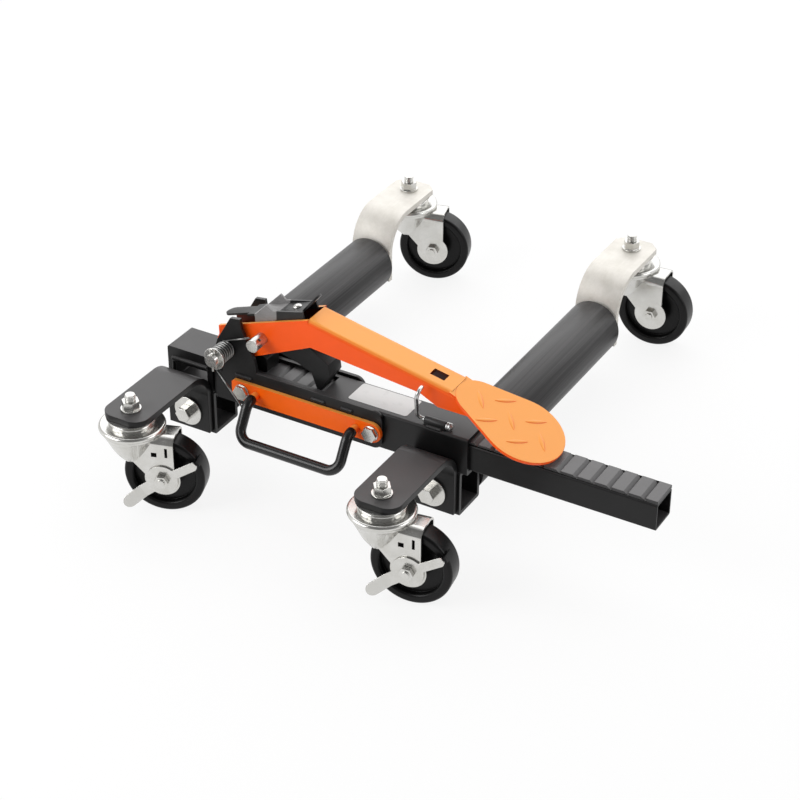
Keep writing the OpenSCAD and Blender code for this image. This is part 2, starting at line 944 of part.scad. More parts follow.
module pedal_lever() {
  color(orange) place() difference() {
    intersection() {
      side_slab(-pedal_w / 2, pedal_w / 2) pedal_side();
      union() {
        arm_section(0);
        translate([knee[0] - 400, -pedal_w / 2, 0]) cube([400, pedal_w, 400]);
      }
    }
    intersection() {
      translate([knee[0] - 400, -pedal_in, 0]) cube([1000, 2 * pedal_in, 400]);
      union() {
        translate([knee[0] - 400, -pedal_w, 0]) cube([400, 2 * pedal_w, 400]);
        arm_section(pedal_t);
      }
    }
    over_foot(0);
    translate([foot_at[0] + foot_l * 0.55, -foot_w, 0]) cube([2 * foot_l, 2 * foot_w, 4 * stand_h]);
    translate([-19, -6.5, tube_top + pivot_up]) cube([19, 13, 100]);
    translate([pivot[0], 0, pivot[1]]) rod_y(pin_r + fit_gap, -pedal_w, pedal_w);
    translate([pawl_pin_at[0], 0, pawl_pin_at[1]]) rod_y(pin_r + fit_gap, -pedal_w, pedal_w);
  }
}

// Foot plate: an egg-shaped sheet on the end of the arm
module foot_plate() {
  tip_r = foot_tip_w / 2;
  end_r = foot_w / 2;
  color(orange) place() translate([foot_at[0], 0, foot_at[1]]) rotate([0, foot_slope, 0])
    linear_extrude(foot_t) hull() {
      translate([tip_r, 0]) circle(tip_r, $fn = 32);
      translate([foot_l - end_r, 0]) circle(end_r, $fn = 48);
    }
}

module pawl_pin() {
  color(zinc) place() translate([pawl_pin_at[0], 0, pawl_pin_at[1]]) difference() {
    rod_y(pin_r, pawl_pin_tip, pedal_w / 2 + 6);
    translate([0, pawl_pin_tip + 9, 0]) rotate([0, 40, 0]) cylinder(r = 2, h = 3 * pin_d, center = true);
  }
}

module pedal_pin() {
  color(zinc) place() translate([pivot[0], 0, pivot[1]]) difference() {
    union() {
      rod_y(pin_r, pin_tip, ear_face + pin_head_h);
      rod_y(pin_r + pin_head_lip, ear_face, ear_face + pin_head_h);
    }
    translate([0, pin_tip + cotter_in, 0]) cylinder(r = cotter_r + fit_gap, h = 3 * pin_d, center = true);
  }
}

module pin_washer() {
  color(zinc) place() translate([pivot[0], washer_y - pin_washer_t, pivot[1]]) difference() {
    rod_y(pin_washer_r, 0, pin_washer_t);
    rod_y(pin_r + fit_gap, -1, pin_washer_t + 1);
  }
}

module cotter_pin() {
  eye_r = 2 * cotter_r;
  color(zinc) place() translate([pivot[0], pin_tip + cotter_in, pivot[1]]) {
    translate([0, 0, -pin_r - 7]) cylinder(r = cotter_r, h = pin_d + 8);
    translate([0, 0, pin_r + eye_r + 1]) rotate([90, 0, 0]) rotate_extrude()
      translate([eye_r, 0]) circle(cotter_r);
  }
}

// Return spring: one wire from the handle's leg round the pin to the pawl pin
spring_steps = 8;
spring_sides = 6;
leg_low = [leg_x[0] - pivot[0] - 4, tube_z - 14 - pivot[1]];
leg_high = [pawl_dx - pin_r - 2.6, pawl_dz + 3];
function tangent_angle(p, side) = atan2(p[1], p[0]) + side * acos(spring_r / norm(p));
low_angle = tangent_angle(leg_low, -1) + 360;
high_angle = tangent_angle(leg_high, 1) + 360 * spring_turns;
coil_steps = ceil((high_angle - low_angle) / 360 * spring_steps);
function coil_point(t) =
  let (a = low_angle + (high_angle - low_angle) * t)
  [spring_r * cos(a), spring_end + (spring_y - spring_end) * t, spring_r * sin(a)];
spring_path = concat(
  [[leg_low[0], strip_face - handle_head_h - 4, leg_low[1]]],
  [for (i = [0 : coil_steps]) coil_point(i / coil_steps)],
  [[leg_high[0], spring_y, leg_high[1]]]
);

function unit(v) = v / norm(v);
function path_way(path, i) =
  unit(path[min(i + 1, len(path) - 1)] - path[max(i - 1, 0)]);

// Points of one ring, square to the path and turned to a fixed side
function ring(path, i, sides, r, side) =
  let (way = path_way(path, i), out = unit(cross(way, side)), up = cross(out, way))
  [for (k = [0 : sides - 1]) path[i] + r * (out * cos(360 * k / sides) + up * sin(360 * k / sides))];

// Triangles between one ring of a wall and the next, and across an end
function wall_faces(first, n, sides) =
  [for (i = [0 : n - 2], k = [0 : sides - 1])
    let (a = first + i * sides + k, b = first + i * sides + (k + 1) % sides)
    each [[a, b, b + sides], [a, b + sides, a + sides]]];
function flipped(faces) = [for (f = faces) [f[0], f[2], f[1]]];
function disc_faces(first, sides) = [for (k = [1 : sides - 2]) [first, first + k + 1, first + k]];
function rim_faces(first, second, sides) =
  [for (k = [0 : sides - 1])
    let (j = (k + 1) % sides)
    each [[first + k, second + k, second + j], [first + k, second + j, first + j]]];

// Closed wire of triangles along a path, or a hose where it has a hole
module wire_along(path, r, sides, side, hole = 0) {
  n = len(path);
  wall = [for (i = [0 : n - 1]) each ring(path, i, sides, r, side)];
  bore = hole > 0 ? [for (i = [0 : n - 1]) each ring(path, i, sides, hole, side)] : [];
  last = (n - 1) * sides;
  ends = hole > 0
    ? concat(rim_faces(0, n * sides, sides), flipped(rim_faces(last, n * sides + last, sides)))
    : concat(disc_faces(0, sides), flipped(disc_faces(last, sides)));
  inside = hole > 0 ? flipped(wall_faces(n * sides, n, sides)) : [];
  polyhedron(points = concat(wall, bore), faces = concat(wall_faces(0, n, sides), ends, inside));
}

function coil_gap() =
  min([for (i = [0 : coil_steps], j = [0 : coil_steps]) if (j - i > spring_steps / 2)
    norm(coil_point(i / coil_steps) - coil_point(j / coil_steps)) - spring_wire]);
echo(spring_least_gap = coil_gap());

module return_spring() {
  color(steel) place() translate([pivot[0], 0, pivot[1]])
    wire_along(spring_path, spring_wire / 2, spring_sides, [0, 1, 0.001]);
}

// Pawls and their release

// Hooked pawl: an arm from its pin to a beak that stands over the rack
module drive_pawl() {
  beak = [beak_dx, rack_top + pawl_gap - pawl_pin_at[1]];
  color(black_paint) place() translate([pawl_pin_at[0], 0, pawl_pin_at[1]])
    side_slab(-pawl_w / 2, pawl_w / 2) difference() {
      union() {
        circle(pin_r + 6);
        polygon([[-pin_r, -pin_r], [12, -2 * pin_r], [beak_dx - 28, -24], [beak_dx - 8, -32], beak,
                 beak + [4, 0], [beak_dx + 18, -30], [beak_dx + 16, -14], [beak_dx - 14, 4],
                 [0, pin_r + 5]]);
      }
      circle(pin_r + fit_gap);
    }
}

module holding_pawl() {
  tip = [41, rack_top + pawl_gap - pivot[1]];
  color(grey_paint) place() translate([pivot[0], 0, pivot[1]])
    side_slab(-pawl_w / 2, pawl_w / 2) difference() {
      union() {
        circle(pin_r + 6);
        polygon([[-2, -pin_r - 5], tip + [-8, 3], tip, tip + [5, 3], [46, -10], [2, pin_r + 5]]);
      }
      circle(pin_r + fit_gap);
    }
}

// Release lever: a channel on the pawl pin, with a tongue behind and a turned-up tab in front
module release_lever() {
  rise = atan2(knee[1] - heel_top[1], knee[0] - heel_top[0]);
  floor_at = [-62, 7];
  floor_l = 122;
  color(grey_paint) place() translate([pawl_pin_at[0], 0, pawl_pin_at[1]]) {
    for (s = [0, 1])
      mirror([0, s, 0]) side_slab(lever_in, lever_in + lever_wall) difference() {
        union() {
          circle(pin_r + 4);
          polygon([[-11, 3], [11, 3], [16, 28], [58, 40], [55, 50], [13, 39], [5, 45], [-12, 27]]);
        }
        circle(pin_r + fit_gap);
      }
    translate([floor_at[0], 0, floor_at[1]]) rotate([0, -rise, 0]) {
      translate([40, -lever_in - 0.01, 0]) cube([floor_l - 40, 2 * lever_in + 0.02, lever_wall]);
      translate([9, -9, 0]) cube([32, 18, lever_wall]);
      translate([9, 0, 0]) cylinder(r = 9, h = lever_wall);
      translate([floor_l, -9, 0]) rotate([0, -32, 0]) {
        cube([18, 18, lever_wall]);
        translate([18, 9, 0]) cylinder(r = 9, h = lever_wall);
      }
    }
  }
}

// Lock hook

module hook_sleeve() {
  color(black_paint) place() translate([0, sleeve_y, sleeve_z]) difference() {
    union() {
      rod_x(sleeve_r, sleeve_x[0], sleeve_x[1]);
      translate([sleeve_x[0], -sleeve_r, -sleeve_r]) cube([sleeve_l, 2 * sleeve_r, sleeve_r]);
    }
    rod_x(hook_r + fit_gap, sleeve_x[0] - 1, sleeve_x[1] + 1);
  }
}

hook_lean_way = [sin(hook_lean), 0, cos(hook_lean)];
hook_elbow = [sleeve_x[0] - 2, 0, hook_bend];
hook_out = [cos(hook_lean), 0, -sin(hook_lean)];
hook_top = hook_elbow - hook_bend * hook_out + (hook_l - hook_bend) * hook_lean_way;
crook_r = 8;

// Wire from inside the pivot rod round the elbow, up the shank and over the crook
hook_path = concat(
  [[sleeve_x[0] + 3, 0, 0]],
  [for (i = [0 : bend_steps]) let (a = 270 - (90 + hook_lean) * i / bend_steps)
    hook_elbow + hook_bend * [cos(a), 0, sin(a)]],
  [for (i = [0 : bend_steps]) let (a = 150 * i / bend_steps)
    hook_top + crook_r * [0, 1 - cos(a), 0] + crook_r * sin(a) * hook_lean_way]
);

module lock_hook() {
  color(zinc) place() translate([0, sleeve_y, sleeve_z]) rotate([hook_swing, 0, 0]) {
    rod_x(hook_r, sleeve_x[0] - 1, sleeve_x[1] + 8);
    rod_x(hook_r + 2.5, sleeve_x[1] + 0.6, sleeve_x[1] + 7);
    wire_along(hook_path, hook_r - 0.05, 12, [0.2, -1, 0.9]);
  }
}

outer_tube();
side_plate_near();
side_plate_far();
handle_strip();
carry_handle();
handle_grip();
handle_bolts();
arm_box_right();
front_plate_right();
arm_bolt_right();
arm_washer_right();
shaft_right();
rear_plate_right();
stem_front_right();
stem_rear_right();
stem_nuts_right();
hook_sleeve();
pedal_pin();
pin_washer();
cotter_pin();
return_spring();
ratchet_tube();
rack_plate();
cross_tube();
arm_box_left();
front_plate_left();
arm_bolt_left();
arm_washer_left();
shaft_left();
rear_plate_left();
stem_front_left();
stem_rear_left();
stem_nuts_left();
pedal_lever();
foot_plate();
pawl_pin();
drive_pawl();
holding_pawl();
release_lever();
lock_hook();
roller_right();
roller_bushes_right();
roller_left();
roller_bushes_left();
fork_front_left();
fork_front_right();
fork_rear_left();
fork_rear_right();
axle_front_left();
axle_front_right();
axle_rear_left();
axle_rear_right();
wheel_front_left();
wheel_front_right();
wheel_rear_left();
wheel_rear_right();
brake_lever_left();
brake_lever_right();
brake_shoe_left();
brake_shoe_right();
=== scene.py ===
"""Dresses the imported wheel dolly: finishes, weld beads, threads, tread marks, and wire and sheet forms."""

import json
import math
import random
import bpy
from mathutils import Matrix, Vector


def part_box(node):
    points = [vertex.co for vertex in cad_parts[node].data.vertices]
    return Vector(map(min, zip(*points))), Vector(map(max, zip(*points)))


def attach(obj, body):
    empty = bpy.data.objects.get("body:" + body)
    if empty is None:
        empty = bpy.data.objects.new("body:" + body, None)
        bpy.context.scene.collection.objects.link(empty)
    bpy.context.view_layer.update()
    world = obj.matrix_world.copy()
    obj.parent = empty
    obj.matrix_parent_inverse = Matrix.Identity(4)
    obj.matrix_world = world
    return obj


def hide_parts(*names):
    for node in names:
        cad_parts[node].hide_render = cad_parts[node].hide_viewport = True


bl_info = {
    "name": "Wheel dolly dressing",
    "version": (1, 0, 0),
    "blender": (4, 5, 0),
    "location": "View3D > Sidebar > Dolly",
    "description": "Finishes and small forms of a pedal wheel dolly",
    "category": "Object",
}

import bmesh
import bpy
from bpy.props import FloatProperty, FloatVectorProperty, IntProperty, PointerProperty
from mathutils import Matrix, Vector

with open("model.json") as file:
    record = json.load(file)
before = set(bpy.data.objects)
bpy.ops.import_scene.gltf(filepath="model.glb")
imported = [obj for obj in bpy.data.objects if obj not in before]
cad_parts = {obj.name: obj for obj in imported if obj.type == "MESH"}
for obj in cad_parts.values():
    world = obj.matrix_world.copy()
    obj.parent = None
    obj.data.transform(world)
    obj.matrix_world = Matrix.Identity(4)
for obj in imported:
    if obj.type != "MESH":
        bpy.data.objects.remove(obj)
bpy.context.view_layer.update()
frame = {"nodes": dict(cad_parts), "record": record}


def box_mid(node):
    """Middle of a node's box at rest."""
    low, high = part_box(node)
    return (Vector(low) + Vector(high)) / 2


# The frame's directions: along the tube, from front to rear, and up

ALONG, REAR, UP = Vector((1, 0, 0)), Vector((0, 1, 0)), Vector((0, 0, 1))

# Places and sizes of the solids that the scene's forms meet, in metres

TUBE_LOW, TUBE_HIGH = (Vector(c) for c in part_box("outer_tube"))
TUBE_Y = (TUBE_LOW.y + TUBE_HIGH.y) / 2
TUBE_Z = (TUBE_LOW.z + TUBE_HIGH.z) / 2
EAR_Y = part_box("side_plate_near")[0][1]
PIVOT = box_mid("pin_washer")
PAWL_PIN = box_mid("pawl_pin")
# The release lever: its bare cheeks along the tube, the start of its floor and its sheet
CHEEKS = (PAWL_PIN.x - 0.0145, PAWL_PIN.x + 0.0185)
RELEASE_FLOOR = Vector((PAWL_PIN.x - 0.062, TUBE_Y, PAWL_PIN.z + 0.007))
RELEASE_SHEET = 0.0024
PEDAL_HALF = (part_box("pedal_lever")[1][1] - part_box("pedal_lever")[0][1]) / 2
PEDAL_WALL = 0.002
FOOT_SHEET = 0.004
# Share of the foot plate's half width at its tip, and what it gains on the way down
EGG_TIP, EGG_GROWTH = 0.58, 0.42
BLOCK_ROOF = 0.016
BLOCK_WALL = 0.008
CASTER_YAW = {"front_left": 19, "front_right": 8, "rear_left": 16, "rear_right": 4}
STEM_RADIUS = 0.0060
STEM_CHAMFER = 0.0016
FORK_FACE = 0.0205
FORK_SHEET = 0.003
CROWN_GAP = 0.004
# Each window's place along the fork, its depth under the crown, its width and its height
FORK_WINDOWS = ((-0.009, 0.020, 0.007, 0.006), (0.006, 0.016, 0.0035, 0.013),
                (-0.001, 0.038, 0.005, 0.005))

# Places and sizes of the small forms that a user would leave alone

# Length of the darker band on the pedal pin under its spring
PIN_BAND_LENGTH = 0.024
# How far a form stands out of the face it covers, too little to see
PROUD = 0.00005
# Weld beads: steps along one, length of a ripple, steps between random sizes, and gaps at the ends
BEAD_STEP = 0.0006
BEAD_RIPPLE = 0.0018
BEAD_WANDER = 12
BEAD_INSET = 0.003
CORNER_INSET = 0.004
SEAM_SINK = 0.001
# Gaps of the block's upright seams under its roof and over its foot
SEAM_TOP, SEAM_FOOT = 0.002, 0.008
BEAD_SEED, BROAD_SEED, RING_SEED = 7, 57, 31
PLATE_WELDS = ((-0.132, -0.121), (-0.103, -0.077), (0.0055, 0.026), (0.0465, 0.0645))
PLATE_WELD_DROP = 0.0072
SHAFT_WELD = 0.0105
# Each family of tread marks: its first mark's place down and across the plate, and its way of turning
MARK_FAMILIES = ((0.009, -0.024, 1), (0.0305, -0.0475, -1))
MARKS_DOWN, MARKS_ACROSS = 4, 3
MARK_SINK = 0.0002
# Bare rim round the marks: at the round end, at the sides and at the tip
ROUND_RIM, SIDE_RIM, TIP_RIM = 0.003, 0.004, 0.012
# Threads: steps in a turn, start inside the nut, and radius of the ridge as a share of the pitch
THREAD_STEPS = 28
THREAD_SINK = 0.001
THREAD_THICK = 0.36
BRAKE_GAP = 0.00035
BRAKE_STEP = 0.001
SPRING_COIL = 0.0107
SPRING_PITCH = 0.0037
SPRING_GAP = 0.0006
# The spring's ends: from the handle rod and the solid spring's low corner, and from the pawl pin
SPRING_LOW = Vector((0.0015, 0.0013, 0.0015))
SPRING_HIGH = Vector((-0.0106, 0, 0.003))
SPRING_LEG_PROUD = 0.00002
HANDLE_ROD = 0.0055
DIP_THICK = 0.001
DIP_LIP = 0.0004
DIP_START = 0.0005
# Places along the hook's end cap and its radii there
CAP_PROFILE = ((0.0, 0.0), (0.0, 0.0047), (0.0003, 0.0050), (0.0020, 0.0050), (0.0024, 0.0046),
               (0.0030, 0.0046), (0.0034, 0.0050), (0.0054, 0.0050), (0.0061, 0.0045), (0.0064, 0.0034),
               (0.0064, 0.0))
CAP_GAP = 0.0006
HOOK_END = 0.0075
HOOK_LEAD = 0.002

# The stage

FLOOR_HALF = 6.0
FLOOR_DROP = 0.0003
FLOOR_GLOW = 0.86
ROOM_SIDE = (0.35, -0.70, 0.62)
ROOM_DARK = 0.8
WORLD_FILL = 0.42
# Name, place, width and height, and watts of each lamp
LAMPS = (
    ("overhead", (-0.35, 1.65, 1.75), (4.4, 3.2), 66.0),
    ("front", (-1.3, -1.7, 1.3), (1.6, 1.2), 30.0),
    ("side", (2.4, 0.2, 1.2), (1.2, 1.0), 12.0),
)
CAMERA_PLACE = (1.1512, -2.0267, 1.4947)
CAMERA_AROUND, CAMERA_ABOVE, CAMERA_ROLL = 29.9, 32.69, 0.23
CAMERA_SENSOR = 36.0
CAMERA_LENS = 95.1


class DollyColours(bpy.types.PropertyGroup):
    """Paint and metal colours."""

    black: FloatVectorProperty(
        name="Black coat", description="Satin coat of the tubes and plates",
        subtype="COLOR", default=(0.0055, 0.0053, 0.0055), min=0, max=1)
    # Painted top light: a paler black on faces that look up stands in for the sheen of the overhead lamp
    black_painted_top_light: FloatVectorProperty(
        name="Black tops", description="Paler tone of the black coat on faces that look up",
        subtype="COLOR", default=(0.055, 0.053, 0.054), min=0, max=1)
    roller: FloatVectorProperty(
        name="Roller coat", description="Streaked coat of the rollers",
        subtype="COLOR", default=(0.010, 0.0095, 0.0098), min=0, max=1)
    orange: FloatVectorProperty(
        name="Orange coat", description="Gloss coat of the pedal and handle",
        subtype="COLOR", default=(0.92, 0.092, 0.002), min=0, max=1)
    # Painted top light: a paler, yellower orange on faces that look up stands in for the strong light and
    # sheen on the tops
    orange_painted_top_light: FloatVectorProperty(
        name="Orange tops", description="Paler tone of the orange coat on faces that look up",
        subtype="COLOR", default=(0.93, 0.36, 0.066), min=0, max=1)
    strip: FloatVectorProperty(
        name="Strip coat", description="Yellower orange coat of the handle's strip",
        subtype="COLOR", default=(0.90, 0.12, 0.001), min=0, max=1)
    zinc: FloatVectorProperty(
        name="Zinc plate", description="Bright plate of casters and fasteners",
        subtype="COLOR", default=(0.69, 0.685, 0.67), min=0, max=1)
    bar: FloatVectorProperty(
        name="Bar zinc", description="Dull plate of the rear caster plates",
        subtype="COLOR", default=(0.74, 0.715, 0.675), min=0, max=1)
    steel: FloatVectorProperty(
        name="Bare steel", description="Spring wire, roller shafts and bushes; paler on the hook",
        subtype="COLOR", default=(0.30, 0.30, 0.295), min=0, max=1)
    grey: FloatVectorProperty(
        name="Dark grey coat", description="Coat of the release lever",
        subtype="COLOR", default=(0.012, 0.012, 0.012), min=0, max=1)
    cheek: FloatVectorProperty(
        name="Pressed steel", description="Bare cheeks of the release lever",
        subtype="COLOR", default=(0.24, 0.235, 0.235), min=0, max=1)
    sticker: FloatVectorProperty(
        name="Sticker", description="Blank sticker on the tube",
        subtype="COLOR", default=(0.74, 0.73, 0.72), min=0, max=1)
    vinyl: FloatVectorProperty(
        name="Vinyl", description="Dipped grip of the handle",
        subtype="COLOR", default=(0.006, 0.006, 0.0065), min=0, max=1)
    wheel: FloatVectorProperty(
        name="Wheel", description="Hard black wheels",
        subtype="COLOR", default=(0.0042, 0.0040, 0.0042), min=0, max=1)
    # Darker colour of the pedal pin where the spring covers it
    pin_dark_band: FloatVectorProperty(
        name="Grease", description="Greased pedal pin under its spring",
        subtype="COLOR", default=(0.006, 0.006, 0.006), min=0, max=1)


class DollySizes(bpy.types.PropertyGroup):
    """Sizes of the small forms."""

    edge: FloatProperty(
        name="Edge", description="Rounding of the edges of the solids",
        subtype="DISTANCE", unit="LENGTH", default=0.0006, min=0.0001, max=0.002)
    bead: FloatProperty(
        name="Weld bead", description="Radius of a weld bead",
        subtype="DISTANCE", unit="LENGTH", default=0.0026, min=0.001, max=0.004)
    mark_length: FloatProperty(
        name="Mark length", description="Length of a tread mark",
        subtype="DISTANCE", unit="LENGTH", default=0.030, min=0.01, max=0.04)
    mark_width: FloatProperty(
        name="Mark width", description="Width of a tread mark",
        subtype="DISTANCE", unit="LENGTH", default=0.0066, min=0.003, max=0.012)
    mark_height: FloatProperty(
        name="Mark height", description="Height of a tread mark over the sheet",
        subtype="DISTANCE", unit="LENGTH", default=0.0014, min=0.0005, max=0.003)
    mark_pitch: FloatVectorProperty(
        name="Mark pitch", description="Pitch of the tread marks along and across the foot plate",
        size=2, subtype="XYZ", unit="LENGTH", default=(0.043, 0.047), min=0.02, max=0.08)
    mark_turn: FloatProperty(
        name="Mark turn", description="Turn of a tread mark from the plate's length",
        subtype="ANGLE", unit="ROTATION", default=math.radians(48), min=0, max=1.6)
    thread_pitch: FloatProperty(
        name="Thread pitch", description="Pitch of the stems' threads",
        subtype="DISTANCE", unit="LENGTH", default=0.00175, min=0.001, max=0.003)
    wire_sides: IntProperty(
        name="Wire sides", description="Sides of a thick round wire", default=20, min=8, max=48)


# Shader expressions


class Shade:
    """A socket of a node tree. Arithmetic on it adds Math nodes."""

    def __init__(self, tree, socket=None):
        self.tree = tree
        self.socket = socket

    def node(self, kind, settings=None, out=0, **values):
        """Adds a node: settings first, then its sockets' values or links, by name or as i0, i1 and so on."""
        made = self.tree.nodes.new(kind)
        for key, value in (settings or {}).items():
            setattr(made, key, value)
        for key, value in values.items():
            name = key.replace("_", " ")
            index = int(name[1:]) if name[0] == "i" and name[1:].isdigit() else name
            socket = made.inputs[index]
            if isinstance(value, Shade):
                self.tree.links.new(value.socket, socket)
            else:
                socket.default_value = value
        return Shade(self.tree, made.outputs[out])

    def _math(self, operation, first, second):
        return self.node("ShaderNodeMath", {"operation": operation}, i0=first, i1=second)

    def __add__(self, other):
        return self._math("ADD", self, other)

    __radd__ = __add__

    def __mul__(self, other):
        return self._math("MULTIPLY", self, other)

    __rmul__ = __mul__

    def __sub__(self, other):
        return self._math("SUBTRACT", self, other)

    def __rsub__(self, other):
        return self._math("SUBTRACT", other, self)

    def __pow__(self, other):
        return self._math("POWER", self, other)

    def stretched(self, scale):
        """Vector times three numbers."""
        return self.node("ShaderNodeVectorMath", {"operation": "MULTIPLY"}, i0=self, i1=scale)

    def noise(self, scale, detail=3.0, roughness=0.55):
        """Noise over this vector."""
        return self.node("ShaderNodeTexNoise", Vector=self, Scale=scale, Detail=detail, Roughness=roughness)

    def between(self, low, high):
        """0 below low, 1 above high, straight between."""
        return self.node("ShaderNodeMapRange", {"clamp": True}, i0=self, i1=low, i2=high)

    def mixed(self, first, second):
        """Colour from first to second as this value goes from 0 to 1."""
        return self.node("ShaderNodeMix", {"data_type": "RGBA"}, out=2,
                         i0=self, i6=opaque(first), i7=opaque(second))

    def bumped(self, strength, depth):
        """Normal with this value as a height."""
        return self.node("ShaderNodeBump", Strength=strength, Distance=depth, Height=self)


def opaque(colour):
    """What a colour socket takes: three numbers get an alpha of 1, and a shade stays."""
    return colour if isinstance(colour, Shade) else (*colour[:3], 1)


def scaled(colour, factor):
    """A colour times a number, no brighter than 1."""
    return tuple(min(1.0, c * factor) for c in colour)


def part_of(vector, axis):
    """One coordinate of a vector."""
    return vector.node("ShaderNodeSeparateXYZ", out=axis, Vector=vector)


def band(place, axis, first, last, soft=0.0006):
    """1 between two places along an axis."""
    along = part_of(place, axis)
    return along.between(first, first + soft) * (1 - along.between(last, last + soft))


def looking_up(place):
    """How far a face looks up."""
    return part_of(place.node("ShaderNodeNewGeometry", out="Normal"), "Z")


def ray(start, kind):
    """1 for a ray of a kind."""
    return start.node("ShaderNodeLightPath", out=f"Is {kind} Ray")


def new_finish(name):
    """An empty material: the material, its surface shader and its object coordinates."""
    made = bpy.data.materials.new(name)
    made.use_nodes = True
    tree = made.node_tree
    shader = next(n for n in tree.nodes if n.type == "BSDF_PRINCIPLED")
    place = Shade(tree).node("ShaderNodeTexCoord", out="Object")
    return made, shader, place


def feed(shader, **values):
    """Sets or links the named sockets of a surface shader."""
    for key, value in values.items():
        socket = shader.inputs[key.replace("_", " ")]
        if isinstance(value, Shade):
            value.tree.links.new(value.socket, socket)
        else:
            socket.default_value = opaque(value) if key == "Base_Color" else value


def coat_finish(name, colour, rough, peel=0.04, dust=1.5, gloss=0.28, top=None, painted_shade_mask=None):
    """Powder coat: fine peel, cloudy gloss, a little dust, and where asked a painted lighter tone on faces
    that look up and painted shade on chosen faces.
    """
    made, shader, place = new_finish(name)
    cloud = place.noise(38.0)
    grain = place.noise(900.0, 2.0)
    speck = place.noise(260.0, 4.0).between(0.62, 0.78)
    tone = cloud.between(0.35, 0.75).mixed(colour, scaled(colour, dust))
    tone = (speck * 0.2).mixed(tone, scaled(colour, dust * 1.4))
    # Painted top light: faces that look up take a paler colour in place of the light falling on them
    if top is not None:
        tone = looking_up(place).between(0.35, 0.92).mixed(tone, top)
    # Painted shade: the masked faces go nearly black, as if in shade
    if painted_shade_mask is not None:
        tone = painted_shade_mask(place).mixed(tone, scaled(colour, 0.08))
    feed(shader,
         Base_Color=tone,
         Roughness=cloud * 0.10 + (rough - 0.06) + grain * 0.04,
         Normal=(place.noise(520.0, 1.0) + grain * 0.4).bumped(peel, 0.0005),
         Specular_IOR_Level=gloss)
    return made


def painted_channel_shade(place):
    """Mask of painted shade on the pedal's inner faces: between its walls and not on top."""
    inner = PEDAL_HALF - PEDAL_WALL
    return band(place, "Y", TUBE_Y - inner, TUBE_Y + inner) * (1 - looking_up(place).between(0.2, 0.4))


def lever_finish(name, coat, cheek, first, last):
    """Dark coat with bare pressed cheeks between two places along the tube."""
    made, shader, place = new_finish(name)
    bare = band(place, "X", first, last)
    cloud = place.noise(60.0)
    fine = place.stretched((160.0, 900.0, 900.0)).noise(1.0, 3.0)
    worn = (cloud * 0.5 + fine * 0.5).between(0.3, 0.7)
    feed(shader,
         Base_Color=bare.mixed(worn.mixed(scaled(coat, 0.8), scaled(coat, 1.6)),
                               worn.mixed(scaled(cheek, 0.8), scaled(cheek, 1.15))),
         Metallic=bare * 0.25,
         Roughness=0.36 + bare * 0.08 + fine * 0.08,
         Normal=fine.bumped(0.04, 0.0005),
         Specular_IOR_Level=0.35)
    return made


def roller_finish(name, colour, top):
    """Black coat over a drawn tube: streaks that run along the roller, and a painted lighter top where the
    light falls.
    """
    made, shader, place = new_finish(name)
    broad = place.stretched((90.0, 0.8, 90.0)).noise(1.0, 3.0, 0.6)
    fine = place.stretched((330.0, 2.0, 330.0)).noise(1.0, 4.0, 0.7)
    hair = place.stretched((1100.0, 6.0, 1100.0)).noise(1.0, 2.0, 0.6)
    streak = (broad.between(0.35, 0.68) * 0.4 + fine.between(0.40, 0.66) * 0.45
              + hair.between(0.5, 0.75) * 0.15)
    side = (streak ** 1.5).mixed(scaled(colour, 0.25), scaled(colour, 7.5))
    # Painted top light: a lit colour from the paler black of the tops goes on faces that look up
    lit = (streak ** 1.2).mixed(scaled(top, 0.3), scaled(top, 1.7))
    feed(shader,
         Base_Color=looking_up(place).between(0.1, 1.0).mixed(side, lit),
         Roughness=0.30 + streak * 0.22,
         Normal=(fine * 0.7 + hair * 0.3).bumped(0.2, 0.0006),
         Specular_IOR_Level=0.24)
    return made


def zinc_finish(name, colour, rough, brush=None, cloudy=0.22, metal=0.95, pin_dark_band=None, top=0.6):
    """Zinc plate: faint clouds, a brushed grain on bar stock, painted shade on faces that look up, and a
    darker band on the pin under the spring.
    """
    made, shader, place = new_finish(name)
    cloud = place.noise(55.0, 3.0).between(0.25, 0.8)
    grain = place.stretched(brush).noise(1.0, 3.0) if brush else place.noise(900.0, 2.0)
    warm = (min(1, colour[0] * 1.01), colour[1], colour[2] * 0.95)
    tone = (grain * 0.4 + cloud * 0.6).mixed(scaled(warm, 1 - cloudy), scaled(colour, 1.06))
    # Painted shade: faces that look up are darkened, by the share top, so that lamp-lit tops do not wash out
    tone = (looking_up(place).between(0.55, 0.95) * top).mixed(tone, scaled(colour, 0.55))
    dull = rough + cloud * 0.08 + grain * 0.05
    # A darker, less metallic band on the pin where the spring covers it
    if pin_dark_band is not None:
        pin_band_mask = band(place, "Y", EAR_Y - PIN_BAND_LENGTH, EAR_Y)
        tone = pin_band_mask.mixed(tone, pin_dark_band)
        metal = (1 - pin_band_mask) * metal
        dull = dull + pin_band_mask * 0.2
    feed(shader, Base_Color=tone, Metallic=metal, Roughness=dull, Normal=grain.bumped(0.03, 0.0004))
    return made


def wheel_finish(name, colour):
    """Hard moulded wheel: faint clouds of the mould and scuffs on the tread."""
    made, shader, place = new_finish(name)
    scuff = place.noise(190.0, 5.0, 0.65).between(0.55, 0.8)
    cloud = place.noise(30.0)
    feed(shader,
         Base_Color=(scuff * 0.4).mixed(colour, scaled(colour, 2.6)),
         Roughness=0.27 + scuff * 0.16 + cloud * 0.08,
         Normal=place.noise(700.0, 2.0).bumped(0.03, 0.0005),
         Specular_IOR_Level=0.2)
    return made


